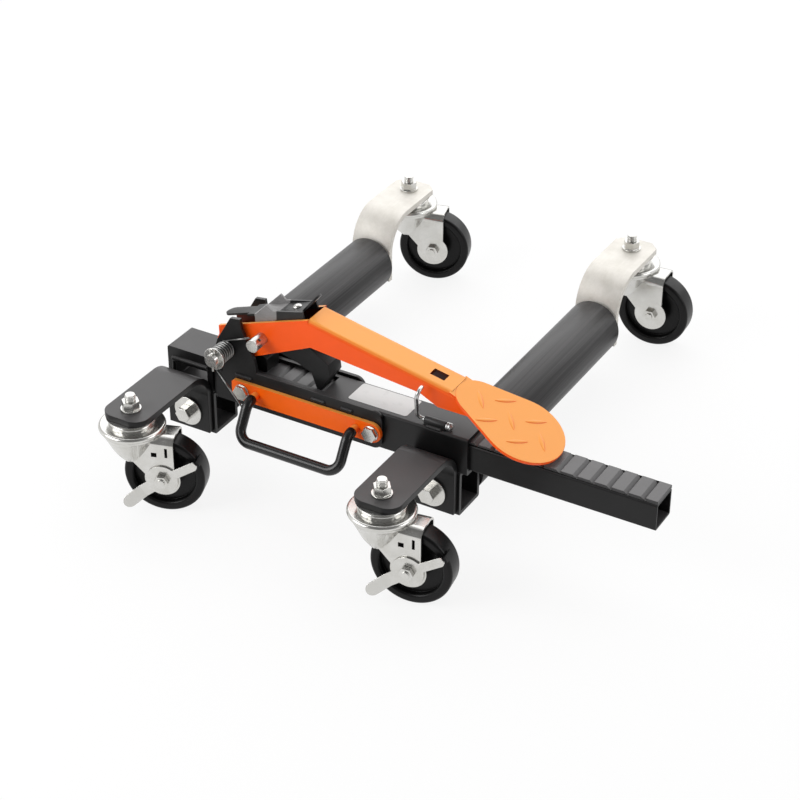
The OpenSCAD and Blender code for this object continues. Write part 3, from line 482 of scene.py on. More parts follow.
def wire_finish(name, colour):
    """Drawn steel: grey with fine drawing marks."""
    made, shader, place = new_finish(name)
    cloud = place.noise(240.0, 3.0)
    feed(shader,
         Base_Color=cloud.between(0.3, 0.7).mixed(scaled(colour, 0.7), scaled(colour, 1.2)),
         Metallic=0.95, Roughness=0.24 + cloud * 0.12,
         Normal=place.noise(1800.0, 2.0).bumped(0.03, 0.0004))
    return made


def sticker_finish(name, colour):
    """Plain matt film with a faint mottle and a little rubbed dirt."""
    made, shader, place = new_finish(name)
    mottle = place.noise(1300.0, 3.0)
    rubbed = place.noise(70.0, 5.0, 0.6).between(0.52, 0.8)
    feed(shader,
         Base_Color=(rubbed * 0.35 + mottle * 0.15).mixed(colour, scaled(colour, 0.62)),
         Roughness=0.42 + mottle * 0.12,
         Normal=mottle.bumped(0.04, 0.0003),
         Specular_IOR_Level=0.4)
    return made


FINISHES = {}
# Solids whose finish is not their slot's own
OWN_FINISH = {
    "rear_plate_left": "bar_zinc", "rear_plate_right": "bar_zinc", "rack_plate": "rack_paint",
    "pedal_lever": "pedal_paint", "pedal_pin": "pin_zinc", "holding_pawl": "black_paint",
    "handle_strip": "strip_paint",
}


def finishes():
    """The materials by slot, made once."""
    if not FINISHES:
        c = bpy.context.scene.dolly_colours
        gloss = (0.33, 0.03, 1.05, 0.3, c.orange_painted_top_light)
        FINISHES.update({
            "black_paint": coat_finish("satin_black_coat", c.black, 0.38, top=c.black_painted_top_light),
            "roller_paint": roller_finish("grained_black_coat", c.roller, scaled(c.black_painted_top_light, 0.85)),
            "orange_paint": coat_finish("gloss_orange_coat", c.orange, *gloss),
            # The pedal's inner faces take painted shade
            "pedal_paint": coat_finish("pedal_orange_coat", c.orange, *gloss, painted_channel_shade),
            "strip_paint": coat_finish("strip_orange_coat", c.strip, *gloss),
            "zinc": zinc_finish("bright_zinc", c.zinc, 0.17),
            "pin_zinc": zinc_finish("banded_pin_zinc", c.zinc, 0.2, pin_dark_band=c.pin_dark_band),
            "bar_zinc": zinc_finish("dull_zinc_bar", c.bar, 0.46, (420.0, 12.0, 420.0), 0.26, 0.25, top=0.0),
            # The rack's lighter lands are painted top light: up-facing faces take the paler black of the
            # tops, made paler still
            "rack_paint": coat_finish("worn_rack_coat", scaled(c.black, 4.0), 0.42, 0.05, 1.6, 0.45,
                                      scaled(c.black_painted_top_light, 1.7)),
            "steel": wire_finish("spring_steel", c.steel),
            "hook_zinc": wire_finish("hook_wire_zinc", scaled(c.steel, 1.9)),
            "grey_paint": lever_finish("dark_coat_bare_cheeks", c.grey, c.cheek, *CHEEKS),
            "vinyl": coat_finish("dipped_vinyl", c.vinyl, 0.25, 0.02, 1.4, 0.45),
            "wheel_black": wheel_finish("moulded_wheel", c.wheel),
            "sticker": sticker_finish("blank_sticker_film", c.sticker),
        })
    return FINISHES


# Mesh helpers


def piece(name, points, faces, body, slot, smooth=True, finish=None):
    """A mesh that rides on a body and takes a slot's finish."""
    mesh = bpy.data.meshes.new(name)
    mesh.from_pydata([tuple(p) for p in points], [], faces)
    mesh.validate()
    built = bmesh.new()
    built.from_mesh(mesh)
    bmesh.ops.recalc_face_normals(built, faces=built.faces)
    built.to_mesh(mesh)
    built.free()
    if smooth:
        for polygon in mesh.polygons:
            polygon.use_smooth = True
    made = bpy.data.objects.new(name, mesh)
    bpy.context.scene.collection.objects.link(made)
    mesh.materials.append(finishes()[finish or slot])
    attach(made, body)
    return made


def path_frames(path):
    """Two directions square to the path at each point, carried along without twist."""
    count = len(path)
    ways = [(path[min(i + 1, count - 1)] - path[max(i - 1, 0)]).normalized() for i in range(count)]
    side = ways[0].orthogonal().normalized()
    frames = []
    for way in ways:
        side = (side - way * side.dot(way)).normalized()
        frames.append((side, way.cross(side)))
    return frames


def arc(centre, first, second, radius, turn, steps):
    """Points of an arc from the first direction towards the second."""
    return [centre + radius * (first * math.cos(turn * i / steps) + second * math.sin(turn * i / steps))
            for i in range(steps + 1)]


def walls(rings, sides, first=0):
    """Faces between rings of points that follow each other."""
    return [(first + i * sides + k, first + i * sides + (k + 1) % sides,
             first + (i + 1) * sides + (k + 1) % sides, first + (i + 1) * sides + k)
            for i in range(rings - 1) for k in range(sides)]


def swept(path, radius, sides, hole=None):
    """Points and faces of a round wire along a path; radius may be a function of the step."""
    frames = path_frames(path)

    def tube(r):
        points = []
        for i, (at, (side, up)) in enumerate(zip(path, frames)):
            size = r(i) if callable(r) else r
            points += arc(at, side, up, size, 2 * math.pi, sides)[:-1]
        return points

    points = tube(radius)
    faces = walls(len(path), sides)
    last = (len(path) - 1) * sides
    if hole is None:
        faces += [tuple(range(sides)), tuple(last + k for k in range(sides))]
    else:
        shift = len(points)
        points += tube(hole)
        faces += walls(len(path), sides, shift)
        for first in (0, last):
            faces += [(first + k, first + (k + 1) % sides, shift + first + (k + 1) % sides, shift + first + k)
                      for k in range(sides)]
    return points, faces


def turned(base, way, first, second, profile, sides=32):
    """Points and faces of a form turned about a line, from places along it and radii, with open ends."""
    points = []
    for along, radius in profile:
        points += arc(base + way * along, first, second, radius, 2 * math.pi, sides)[:-1]
    return points, walls(len(profile), sides)


def joined(parts):
    """Several sets of points and faces as one."""
    points, faces = [], []
    for more_points, more_faces in parts:
        shift = len(points)
        points += list(more_points)
        faces += [tuple(shift + i for i in face) for face in more_faces]
    return points, faces


def prism(outline, height):
    """Points and faces of a flat outline carried along a vector."""
    count = len(outline)
    points = list(outline) + [p + height for p in outline]
    faces = [tuple(range(count)), tuple(reversed(range(count, 2 * count)))]
    return points, faces + walls(2, count)


def bead_form(ends, radius, seed):
    """Weld bead along a polyline: overlapping ripples and a little unevenness."""
    chance = random.Random(seed)
    path = []
    for a, b in zip(ends[:-1], ends[1:]):
        steps = max(4, int((b - a).length / BEAD_STEP))
        path += [a.lerp(b, i / steps) for i in range(steps)]
    path.append(ends[-1])
    count = len(path)
    wander = [chance.uniform(-1, 1) for _ in range(count // BEAD_WANDER + 3)]

    def size(i):
        spot, part = divmod(i / BEAD_WANDER, 1)
        loose = wander[int(spot)] * (1 - part) + wander[int(spot) + 1] * part
        ripple = abs(math.sin(math.pi * i * BEAD_STEP / BEAD_RIPPLE))
        close = min(1.0, 0.35 + 0.22 * min(i, count - 1 - i))
        return radius * close * (0.84 + 0.16 * ripple + 0.07 * loose)

    return swept(path, size, 10)


def foot_plane():
    """Tip of the foot plate's top face, the way down its slope and its normal."""
    mount = next(m for m in frame["record"]["mounts"] if m["name"] == "foot_pad")
    normal = Vector(mount["axis"]).normalized()
    down = Vector((normal.z, 0, -normal.x))
    middle = Vector(mount["pos_m"])
    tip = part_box("foot_plate")[0][0] + normal.x * FOOT_SHEET
    start = middle - down * ((middle.x - tip) / down.x)
    start.y = TUBE_Y
    return start, down, normal


def caster_lines(end, side):
    """A caster's axle, the way from its stem to the axle and the way across its wheel."""
    yaw = math.radians(CASTER_YAW[f"{end}_{side}"])
    along = Vector((math.cos(yaw), math.sin(yaw), 0))
    across = Vector((-along.y, along.x, 0))
    axle = box_mid(f"axle_{end}_{side}")
    stem = box_mid(f"stem_{end}_{side}")
    axle = stem + along * (axle - stem).dot(along) + Vector((0, 0, axle.z - stem.z))
    return axle, along, across


def soften(made, width):
    """Round the edges of a piece or solid a little."""
    soft = made.modifiers.new("soft_edges", "BEVEL")
    soft.width = width
    soft.segments = 2
    soft.limit_method = "ANGLE"
    soft.angle_limit = math.radians(38)
    soft.harden_normals = True


# Operators


class DOLLY_OT_finish_solids(bpy.types.Operator):
    """Give every solid its finish and soft edges"""

    bl_idname = "dolly.finish_solids"
    bl_label = "Finish the solids"

    def execute(self, context):
        sizes = context.scene.dolly_sizes
        slots = {row["node"]: row["material_slot"] for row in frame["record"]["subparts"]}
        for name, solid in frame["nodes"].items():
            key = OWN_FINISH.get(name, slots[name])
            for holder in solid.material_slots:
                holder.material = finishes()[key]
            weld = solid.modifiers.new("joined_points", "WELD")
            weld.merge_threshold = 0.000002
            flat = solid.modifiers.new("flat_faces", "DECIMATE")
            flat.decimate_type = "DISSOLVE"
            flat.angle_limit = math.radians(0.3)
            soften(solid, sizes.edge)
        return {"FINISHED"}


class DOLLY_OT_tread_marks(bpy.types.Operator):
    """Raise the lens-shaped marks on the foot plate"""

    bl_idname = "dolly.tread_marks"
    bl_label = "Tread marks"

    steps: IntProperty(name="Steps", description="Steps along a mark", default=18, min=6)
    rows: IntProperty(name="Rows", description="Rows across a mark", default=6, min=2)
    shortest: IntProperty(name="Shortest", description="Fewest points along a mark cut at the rim",
                          default=8, min=2)

    def execute(self, context):
        sizes = context.scene.dolly_sizes
        start, down, normal = foot_plane()
        across = normal.cross(down)
        low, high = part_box("foot_plate")
        half = (high[1] - low[1]) / 2
        wide = (high[0] - low[0] - normal.x * FOOT_SHEET) / normal.z - half

        def inside(u, v):
            """True well inside the egg of the foot plate."""
            if u > wide:
                return math.hypot(u - wide, v) < half - ROUND_RIM
            return abs(v) < half * (EGG_TIP + EGG_GROWTH * u / wide) - SIDE_RIM and u > TIP_RIM

        def on_plate(u, v, height):
            return start + down * u + across * v + normal * height

        marks = []
        for first_u, first_v, way in MARK_FAMILIES:
            for i in range(MARKS_DOWN):
                for j in range(MARKS_ACROSS):
                    u = first_u + i * sizes.mark_pitch[0]
                    v = first_v + j * sizes.mark_pitch[1]
                    marks.append(self.mark(sizes, u, v, way * sizes.mark_turn, inside, on_plate))
        piece("tread_marks", *joined(m for m in marks if m), "pedal", "orange_paint")
        return {"FINISHED"}

    def mark(self, sizes, u, v, turn, inside, on_plate):
        """One lens: two arcs in plan, crowned in section, cut at the plate's rim."""

        def at(along, shift):
            return (u + along * math.cos(turn) - shift * math.sin(turn),
                    v + along * math.sin(turn) + shift * math.cos(turn))

        spots = [i / self.steps * 2 - 1 for i in range(self.steps + 1)]
        kept = [t for t in spots if inside(*at(t * sizes.mark_length / 2, 0))]
        if len(kept) < self.shortest:
            return None
        points, faces = [], []
        for t in kept:
            bulge = max(0.0, 1 - t * t)
            for k in range(self.rows + 1):
                s = k / self.rows * 2 - 1
                height = sizes.mark_height * math.sqrt(bulge) * (1 - s * s) ** 0.6 - MARK_SINK
                spot = at(t * sizes.mark_length / 2, s * sizes.mark_width / 2 * bulge)
                points.append(on_plate(*spot, height))
        for i in range(len(kept) - 1):
            for k in range(self.rows):
                a = i * (self.rows + 1) + k
                faces.append((a, a + 1, a + self.rows + 2, a + self.rows + 1))
        return points, faces


class DOLLY_OT_pedal_tongue(bpy.types.Operator):
    """Carry the pedal's top on to the foot plate's narrow end"""

    bl_idname = "dolly.pedal_tongue"
    bl_label = "Pedal tongue"

    length: FloatProperty(name="Length", default=0.024, unit="LENGTH")
    lap: FloatProperty(name="Lap", description="Length before the plate's tip", default=0.002, unit="LENGTH")
    sheet: FloatProperty(name="Sheet", default=0.006, unit="LENGTH")
    step: FloatProperty(name="Step", description="Drop from the plate's top", default=0.0009, unit="LENGTH")
    side_gap: FloatProperty(name="Side gap", default=0.0006, unit="LENGTH")

    def execute(self, context):
        start, down, normal = foot_plane()
        top = start - normal * self.step
        across = REAR * (PEDAL_HALF - self.side_gap)
        outline = [top + down * along + across * side
                   for along, side in ((-self.lap, -1), (self.length, -1), (self.length, 1), (-self.lap, 1))]
        piece("pedal_tongue", *prism(outline, -normal * self.sheet), "pedal", "orange_paint", False)
        return {"FINISHED"}


class DOLLY_OT_weld_beads(bpy.types.Operator):
    """Lay the weld beads that hold the frame and the sliding half together"""

    bl_idname = "dolly.weld_beads"
    bl_label = "Weld beads"

    def execute(self, context):
        radius = context.scene.dolly_sizes.bead
        frame_lines, slider_lines, broad_lines = [], [], []
        for side, lines in (("right", frame_lines), ("left", slider_lines)):
            low, high = (Vector(c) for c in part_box("arm_box_" + side))
            for x in (low.x, high.x):
                lines.append([Vector((x, y, high.z)) for y in (low.y + BEAD_INSET, high.y - BEAD_INSET)])
            lines.append([Vector((x, high.y, high.z)) for x in (low.x + CORNER_INSET, high.x - CORNER_INSET)])
        plate_z = TUBE_HIGH.z - PLATE_WELD_DROP
        frame_lines += [[Vector((x, EAR_Y, plate_z)) for x in ends] for ends in PLATE_WELDS]
        low, high = (Vector(c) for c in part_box("hook_sleeve"))
        frame_lines += [[Vector((x, y, TUBE_HIGH.z)) for x in (low.x + BEAD_INSET, high.x - BEAD_INSET)]
                        for y in (low.y, high.y)]
        low, high = (Vector(c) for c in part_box("cross_tube"))
        roof_z = high.z - BLOCK_ROOF
        left_x, right_x = low.x + BLOCK_WALL, high.x - BLOCK_WALL
        for y in (low.y + SEAM_SINK, high.y - SEAM_SINK):
            broad_lines.append([Vector((x, y, roof_z)) for x in (left_x - BEAD_INSET, right_x + BEAD_INSET)])
            slider_lines.append([Vector((left_x, y, z)) for z in (roof_z - SEAM_TOP, low.z + SEAM_FOOT)])
        frame_beads = [bead_form(line, radius, BEAD_SEED + n) for n, line in enumerate(frame_lines)]
        slider_beads = [bead_form(line, radius, BEAD_SEED + n) for n, line in enumerate(slider_lines)]
        slider_beads += [bead_form(line, radius * 1.7, BROAD_SEED + n) for n, line in enumerate(broad_lines)]
        for body, beads in (("frame", frame_beads), ("slider", slider_beads)):
            piece("weld_beads_" + body, *joined(beads), body, "black_paint")
        for side, body in (("right", "frame"), ("left", "slider")):
            centre = box_mid("shaft_" + side)
            centre.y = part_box("shaft_" + side)[1][1]
            ring = arc(centre, ALONG, UP, SHAFT_WELD, 2 * math.pi, 40)
            piece("shaft_weld_" + side, *bead_form(ring, radius * 0.8, RING_SEED), body, "zinc")
        return {"FINISHED"}


class DOLLY_OT_stem_threads(bpy.types.Operator):
    """Wind the threads on the caster stems above their nuts"""

    bl_idname = "dolly.stem_threads"
    bl_label = "Stem threads"

    def execute(self, context):
        pitch = context.scene.dolly_sizes.thread_pitch
        for end in ("front", "rear"):
            for side, body in (("left", "slider"), ("right", "frame")):
                stem = f"stem_{end}_{side}"
                mid = box_mid(stem)
                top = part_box(stem)[1][2] - STEM_CHAMFER
                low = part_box("stem_nuts_" + side)[1][2] - THREAD_SINK
                turns = (top - low) / pitch
                steps = int(turns * THREAD_STEPS)
                path = []
                for i in range(steps + 1):
                    a = 2 * math.pi * turns * i / steps
                    path.append(Vector((mid.x + STEM_RADIUS * math.cos(a), mid.y + STEM_RADIUS * math.sin(a),
                                        low + (top - low) * i / steps)))
                piece(f"thread_{end}_{side}", *swept(path, pitch * THREAD_THICK, 6), body, "zinc")
        return {"FINISHED"}


class DOLLY_OT_fork_bosses(bpy.types.Operator):
    """Round out the bosses of the forks and close the windows of the rear ones, which carry no brake"""

    bl_idname = "dolly.fork_bosses"
    bl_label = "Fork bosses"

    boss: FloatProperty(name="Boss", default=0.022, unit="LENGTH")
    margin: FloatProperty(name="Margin", default=0.0009, unit="LENGTH")

    def execute(self, context):
        for end in ("front", "rear"):
            for side in ("left", "right"):
                axle, along, across = caster_lines(end, side)
                forms = []
                for out in (-across, across):
                    near = axle + out * (FORK_FACE - FORK_SHEET)
                    ring = arc(near, along, UP, self.boss, 2 * math.pi, 64)[:-1]
                    forms.append(prism(ring, out * (FORK_SHEET + PROUD)))
                    if end == "rear":
                        forms += [self.patch(near, along, out, window) for window in FORK_WINDOWS]
                made = piece(f"fork_bosses_{end}_{side}", *joined(forms), f"caster_{end}_{side}",
                             "zinc", False)
                soften(made, context.scene.dolly_sizes.edge / 3)
        return {"FINISHED"}

    def patch(self, near, along, out, window):
        """A thin plate in a window, a hair proud of the leg."""
        place, depth, width, height = window
        middle = near + along * place + UP * (near.z + CROWN_GAP - depth)
        outline = [middle + along * u * (width / 2 + self.margin) + UP * v * (height / 2 + self.margin)
                   for u, v in ((-1, -1), (1, -1), (1, 1), (-1, 1))]
        return prism(outline, out * (FORK_SHEET + 2 * PROUD))


class DOLLY_OT_brake_levers(bpy.types.Operator):
    """Press the brake levers: a hub, a tail kicked out for the toe and an arm with its tab over the tread"""

    bl_idname = "dolly.brake_levers"
    bl_label = "Brake levers"

    hub: FloatProperty(name="Hub", default=0.0195, unit="LENGTH")
    tail: FloatProperty(name="Tail", default=0.0565, unit="LENGTH")
    tail_turn: FloatProperty(name="Tail turn", default=math.radians(217), unit="ROTATION")
    tail_half: FloatProperty(name="Tail half width", default=0.0082, unit="LENGTH")
    fold: FloatProperty(name="Fold", description="Distance of the tail's fold from the axle",
                        default=0.030, unit="LENGTH")
    kick: FloatProperty(name="Kick", default=math.radians(24), unit="ROTATION")
    reach: FloatProperty(name="Arm", default=0.0505, unit="LENGTH")
    arm_turn: FloatProperty(name="Arm turn", default=math.radians(32), unit="ROTATION")
    arm_half: FloatProperty(name="Arm half width", default=0.0058, unit="LENGTH")
    sheet: FloatProperty(name="Sheet", default=0.002, unit="LENGTH")
    edge: FloatProperty(name="Edge", default=0.0004, unit="LENGTH")
    tread: FloatProperty(name="Tab radius", default=0.0516, unit="LENGTH")
    tab_width: FloatProperty(name="Tab width", default=0.018, unit="LENGTH")
    tab_half: FloatProperty(name="Tab half angle", default=math.radians(4), unit="ROTATION")

    def half_width(self, s):
        """Half width of the lever at a signed distance from the axle, where hub and arm flow together."""
        end, half = (self.tail, self.tail_half) if s < 0 else (self.reach, self.arm_half)
        past = max(0.0, abs(s) - (end - half)) / half
        arm = half * math.sqrt(max(0.02, 1 - past * past))
        hub = math.sqrt(max(0.0, self.hub ** 2 - s * s))
        return (arm ** 5 + hub ** 5) ** 0.2

    def execute(self, context):
        for side in ("left", "right"):
            axle, along, across = caster_lines("front", side)
            base = axle - across * (FORK_FACE + BRAKE_GAP)
            made = piece("brake_plate_" + side, *self.plate(base, along, -across), "brake_" + side,
                         "zinc", False)
            soften(made, self.edge)
            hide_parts("brake_lever_" + side)
            made = piece("brake_tab_" + side, *self.tab(base, along, across), "brake_" + side,
                         "zinc", False, "wheel_black")
            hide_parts("brake_shoe_" + side)
        return {"FINISHED"}

    def plate(self, base, along, out):
        """The lever's sheet in rows from tail to arm: bent across the hub and kicked out at the fold."""
        rows = int(round((self.tail + self.reach) / BRAKE_STEP))
        points = []
        for i in range(rows + 1):
            s = -self.tail + (self.tail + self.reach) * i / rows
            bent = min(1.0, max(0.0, (s + self.hub) / (2 * self.hub)))
            turn = (self.tail_turn - math.pi) * (1 - bent) + self.arm_turn * bent
            way = along * math.cos(turn) + UP * math.sin(turn)
            square = UP * math.cos(turn) - along * math.sin(turn)
            lift = out * max(0.0, -s - self.fold) * math.tan(self.kick)
            half = self.half_width(s)
            for v, depth in ((-1, 0.0), (1, 0.0), (1, self.sheet), (-1, self.sheet)):
                points.append(base + way * s + square * v * half + lift + out * depth)
        return points, walls(rows + 1, 4) + [(0, 1, 2, 3), tuple(4 * rows + k for k in range(4))]

    def tab(self, base, along, across):
        """The tab: a short arc of sheet from the arm's end over the tread."""
        steps = 8
        outline = []
        for radius, order in ((self.tread, 1), (self.tread + self.sheet, -1)):
            for i in range(steps + 1)[::order]:
                a = self.arm_turn + self.tab_half * (2 * i / steps - 1)
                outline.append(base + radius * (along * math.cos(a) + UP * math.sin(a)))
        return prism(outline, across * self.tab_width)


class DOLLY_OT_return_spring(bpy.types.Operator):
    """Wind the return spring on the pedal pin, with a leg that follows the pedal"""

    bl_idname = "dolly.return_spring"
    bl_label = "Return spring"

    turns: IntProperty(name="Curls", default=6, min=3, max=9)
    wire: FloatProperty(name="Wire", default=0.0023, unit="LENGTH")
    lap: FloatProperty(name="Lap", description="Turn of the last curl that follows the pedal",
                       default=math.radians(60), unit="ROTATION")

    def execute(self, context):
        last_y = EAR_Y - SPRING_GAP - self.wire / 2
        first_y = last_y - self.turns * SPRING_PITCH
        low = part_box("return_spring")[0]
        low_end = Vector((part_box("carry_handle")[0][0], low[1], low[2])) + SPRING_LOW
        high_end = Vector((PAWL_PIN.x, last_y, PAWL_PIN.z)) + SPRING_HIGH

        def touch(point, side):
            """Angle at which a straight end leaves the coil."""
            x, z = point.x - PIVOT.x, point.z - PIVOT.z
            return math.atan2(z, x) + side * math.acos(SPRING_COIL / math.hypot(x, z))

        first = touch(low_end, -1) + 2 * math.pi
        last = touch(high_end, 1) + 2 * math.pi * self.turns
        flat = last - self.lap

        def curl(start, end, steps):
            path = []
            for i in range(steps + 1):
                a = start + (end - start) * i / steps
                y = first_y + (last_y - first_y) * min(1.0, (a - first) / (flat - first))
                x, z = PIVOT.x + SPRING_COIL * math.cos(a), PIVOT.z + SPRING_COIL * math.sin(a)
                path.append(Vector((x, y, z)))
            return path

        leg = curl(flat, last, 6) + [high_end]
        piece("spring_leg", *swept(leg, self.wire / 2 + SPRING_LEG_PROUD, 12), "pedal", "steel")
        coil = [low_end] + curl(first, last, self.turns * 30)
        made = piece("spring_wire", *swept(coil, self.wire / 2, 12), "frame", "steel")
        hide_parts("return_spring")
        return {"FINISHED"}


class DOLLY_OT_carry_handle(bpy.types.Operator):
    """Bend the handle rod and dip its grip"""

    bl_idname = "dolly.carry_handle"
    bl_label = "Carry handle"

    drop: FloatProperty(name="Drop", default=0.040, unit="LENGTH")
    reach: FloatProperty(name="Reach", default=0.042, unit="LENGTH")
    stub: FloatProperty(name="Stub", default=0.018, unit="LENGTH")
    bend: FloatProperty(name="Bend", default=0.016, unit="LENGTH")

    def half(self, x, inward, start_y=None):
        """Half of the loop, from a given place or the dip's edge to its corner; inward is along the grip."""
        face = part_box("handle_strip")[0][1]
        fall = math.atan2(self.drop, self.reach - self.stub)
        run = math.hypot(self.drop, self.reach - self.stub)
        knee = face - self.stub + self.bend * math.tan(fall / 2)
        way = Vector((0, -math.cos(fall), -math.sin(fall)))
        path = [Vector((x, start_y if start_y is not None else knee + DIP_START, TUBE_Z))]
        path += arc(Vector((x, knee, TUBE_Z - self.bend)), UP, -REAR, self.bend, fall, 12)
        corner = Vector((x, face - self.stub, TUBE_Z)) + (run - self.bend) * way + inward * self.bend
        path += arc(corner, -inward, way, self.bend, math.pi / 2, 14)
        return path

    def execute(self, context):
        sides = context.scene.dolly_sizes.wire_sides
        low, high = (Vector(c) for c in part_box("carry_handle"))
        left, right = low.x + HANDLE_ROD, high.x - HANDLE_ROD
        loop = self.half(left, ALONG, high.y) + self.half(right, -ALONG, high.y)[::-1]
        made = piece("handle_rod", *swept(loop, HANDLE_ROD, sides), "frame", "orange_paint")
        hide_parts("carry_handle")
        dipped = self.half(left, ALONG) + self.half(right, -ALONG)[::-1]

        def thick(i):
            return HANDLE_ROD + DIP_THICK - (DIP_LIP if i in (0, len(dipped) - 1) else 0)

        made = piece("handle_dip", *swept(dipped, thick, sides, HANDLE_ROD + PROUD), "frame", "vinyl")
        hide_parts("handle_grip")
        return {"FINISHED"}


class DOLLY_OT_lock_hook(bpy.types.Operator):
    """Bend the lock hook from round wire and press on its end cap"""

    bl_idname = "dolly.lock_hook"
    bl_label = "Lock hook"

    wire: FloatProperty(name="Wire", default=0.0049, unit="LENGTH")
    shank: FloatProperty(name="Shank", default=0.046, unit="LENGTH")
    elbow: FloatProperty(name="Elbow", default=0.007, unit="LENGTH")
    crook: FloatProperty(name="Crook", default=0.008, unit="LENGTH")
    crook_turn: FloatProperty(name="Crook turn", default=math.radians(150), unit="ROTATION")
    lean: FloatProperty(name="Lean", default=math.radians(14), unit="ROTATION")
    swing: FloatProperty(name="Swing", default=math.radians(30), unit="ROTATION")

    def execute(self, context):
        joint = next(j for j in frame["record"]["behaviour"]["joints"] if j["name"] == "hook_swing")
        pivot = Vector(joint["pos_m"])
        left, right = (corner[0] - pivot.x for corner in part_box("hook_sleeve"))
        turn = Matrix.Rotation(self.swing, 3, "X")
        up = Vector((math.sin(self.lean), 0, math.cos(self.lean)))
        out = Vector((math.cos(self.lean), 0, -math.sin(self.lean)))
        centre = Vector((left - HOOK_LEAD, 0, self.elbow))
        path = [ALONG * (right + HOOK_END), ALONG * left]
        path += arc(centre, -UP, -ALONG, self.elbow, math.pi / 2 + self.lean, 16)
        top = centre - self.elbow * out + (self.shank - self.elbow) * up
        path += arc(top + self.crook * REAR, -REAR, up, self.crook, self.crook_turn, 24)
        hook = swept([pivot + turn @ p for p in path], self.wire / 2, 20)
        cap = turned(pivot + ALONG * (right + CAP_GAP), ALONG, REAR, UP, CAP_PROFILE)
        made = piece("hook_wire", *joined([hook, cap]), "lock_hook", "zinc", finish="hook_zinc")
        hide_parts("lock_hook")
        return {"FINISHED"}


class DOLLY_OT_release_rivet(bpy.types.Operator):
    """Set the domed rivet in the release lever's floor"""

    bl_idname = "dolly.release_rivet"
    bl_label = "Release rivet"

    radius: FloatProperty(name="Radius", default=0.0058, unit="LENGTH")
    flat: FloatProperty(name="Flat", description="Radius of the flat on top", default=0.0004, unit="LENGTH")
    height: FloatProperty(name="Height", default=0.0036, unit="LENGTH")
    rise: FloatProperty(name="Rise", default=math.radians(19.11), unit="ROTATION")
    along: FloatProperty(name="Along", default=0.107, unit="LENGTH")

    def execute(self, context):
        way = Vector((math.cos(self.rise), 0, math.sin(self.rise)))
        normal = Vector((-math.sin(self.rise), 0, math.cos(self.rise)))
        base = RELEASE_FLOOR + way * self.along + normal * RELEASE_SHEET
        rings, sides = 9, 32
        slopes = [math.pi / 2 * i / (rings - 1) for i in range(rings)]
        profile = [(self.height * math.sin(a), self.radius * math.cos(a) ** 0.8) for a in slopes[:-1]]
        profile.append((self.height, self.flat))
        points, faces = turned(base, normal, way, REAR, profile, sides)
        faces += [tuple((rings - 1) * sides + k for k in range(sides)), tuple(reversed(range(sides)))]
        piece("release_rivet", points, faces, "release_lever", "zinc")
        return {"FINISHED"}


class DOLLY_OT_blank_sticker(bpy.types.Operator):
    """Lay the blank sticker on the tube's top"""

    bl_idname = "dolly.blank_sticker"
    bl_label = "Blank sticker"

    length: FloatProperty(name="Length", default=0.080, unit="LENGTH")
    width: FloatProperty(name="Width", default=0.038, unit="LENGTH")
    corner: FloatProperty(name="Corner", default=0.003, unit="LENGTH")
    film: FloatProperty(name="Film", default=0.00018, unit="LENGTH")
    from_end: FloatProperty(name="From end", description="Left edge's distance from the tube's right end",
                            default=0.166, unit="LENGTH")
    shift: FloatProperty(name="Shift", description="Shift from the tube's middle",
                         default=0.0025, unit="LENGTH")

    def execute(self, context):
        centre = Vector((TUBE_HIGH.x - self.from_end + self.length / 2, TUBE_Y + self.shift, TUBE_HIGH.z))
        outline = []
        for first, second in ((ALONG, REAR), (REAR, -ALONG), (-ALONG, -REAR), (-REAR, ALONG)):
            way = first + second
            middle = centre + Vector((way.x * (self.length / 2 - self.corner),
                                      way.y * (self.width / 2 - self.corner), 0))
            outline += arc(middle, first, second, self.corner, math.pi / 2, 6)
        piece("blank_sticker", *prism(outline, UP * self.film), "frame", "vinyl", False, "sticker")
        return {"FINISHED"}


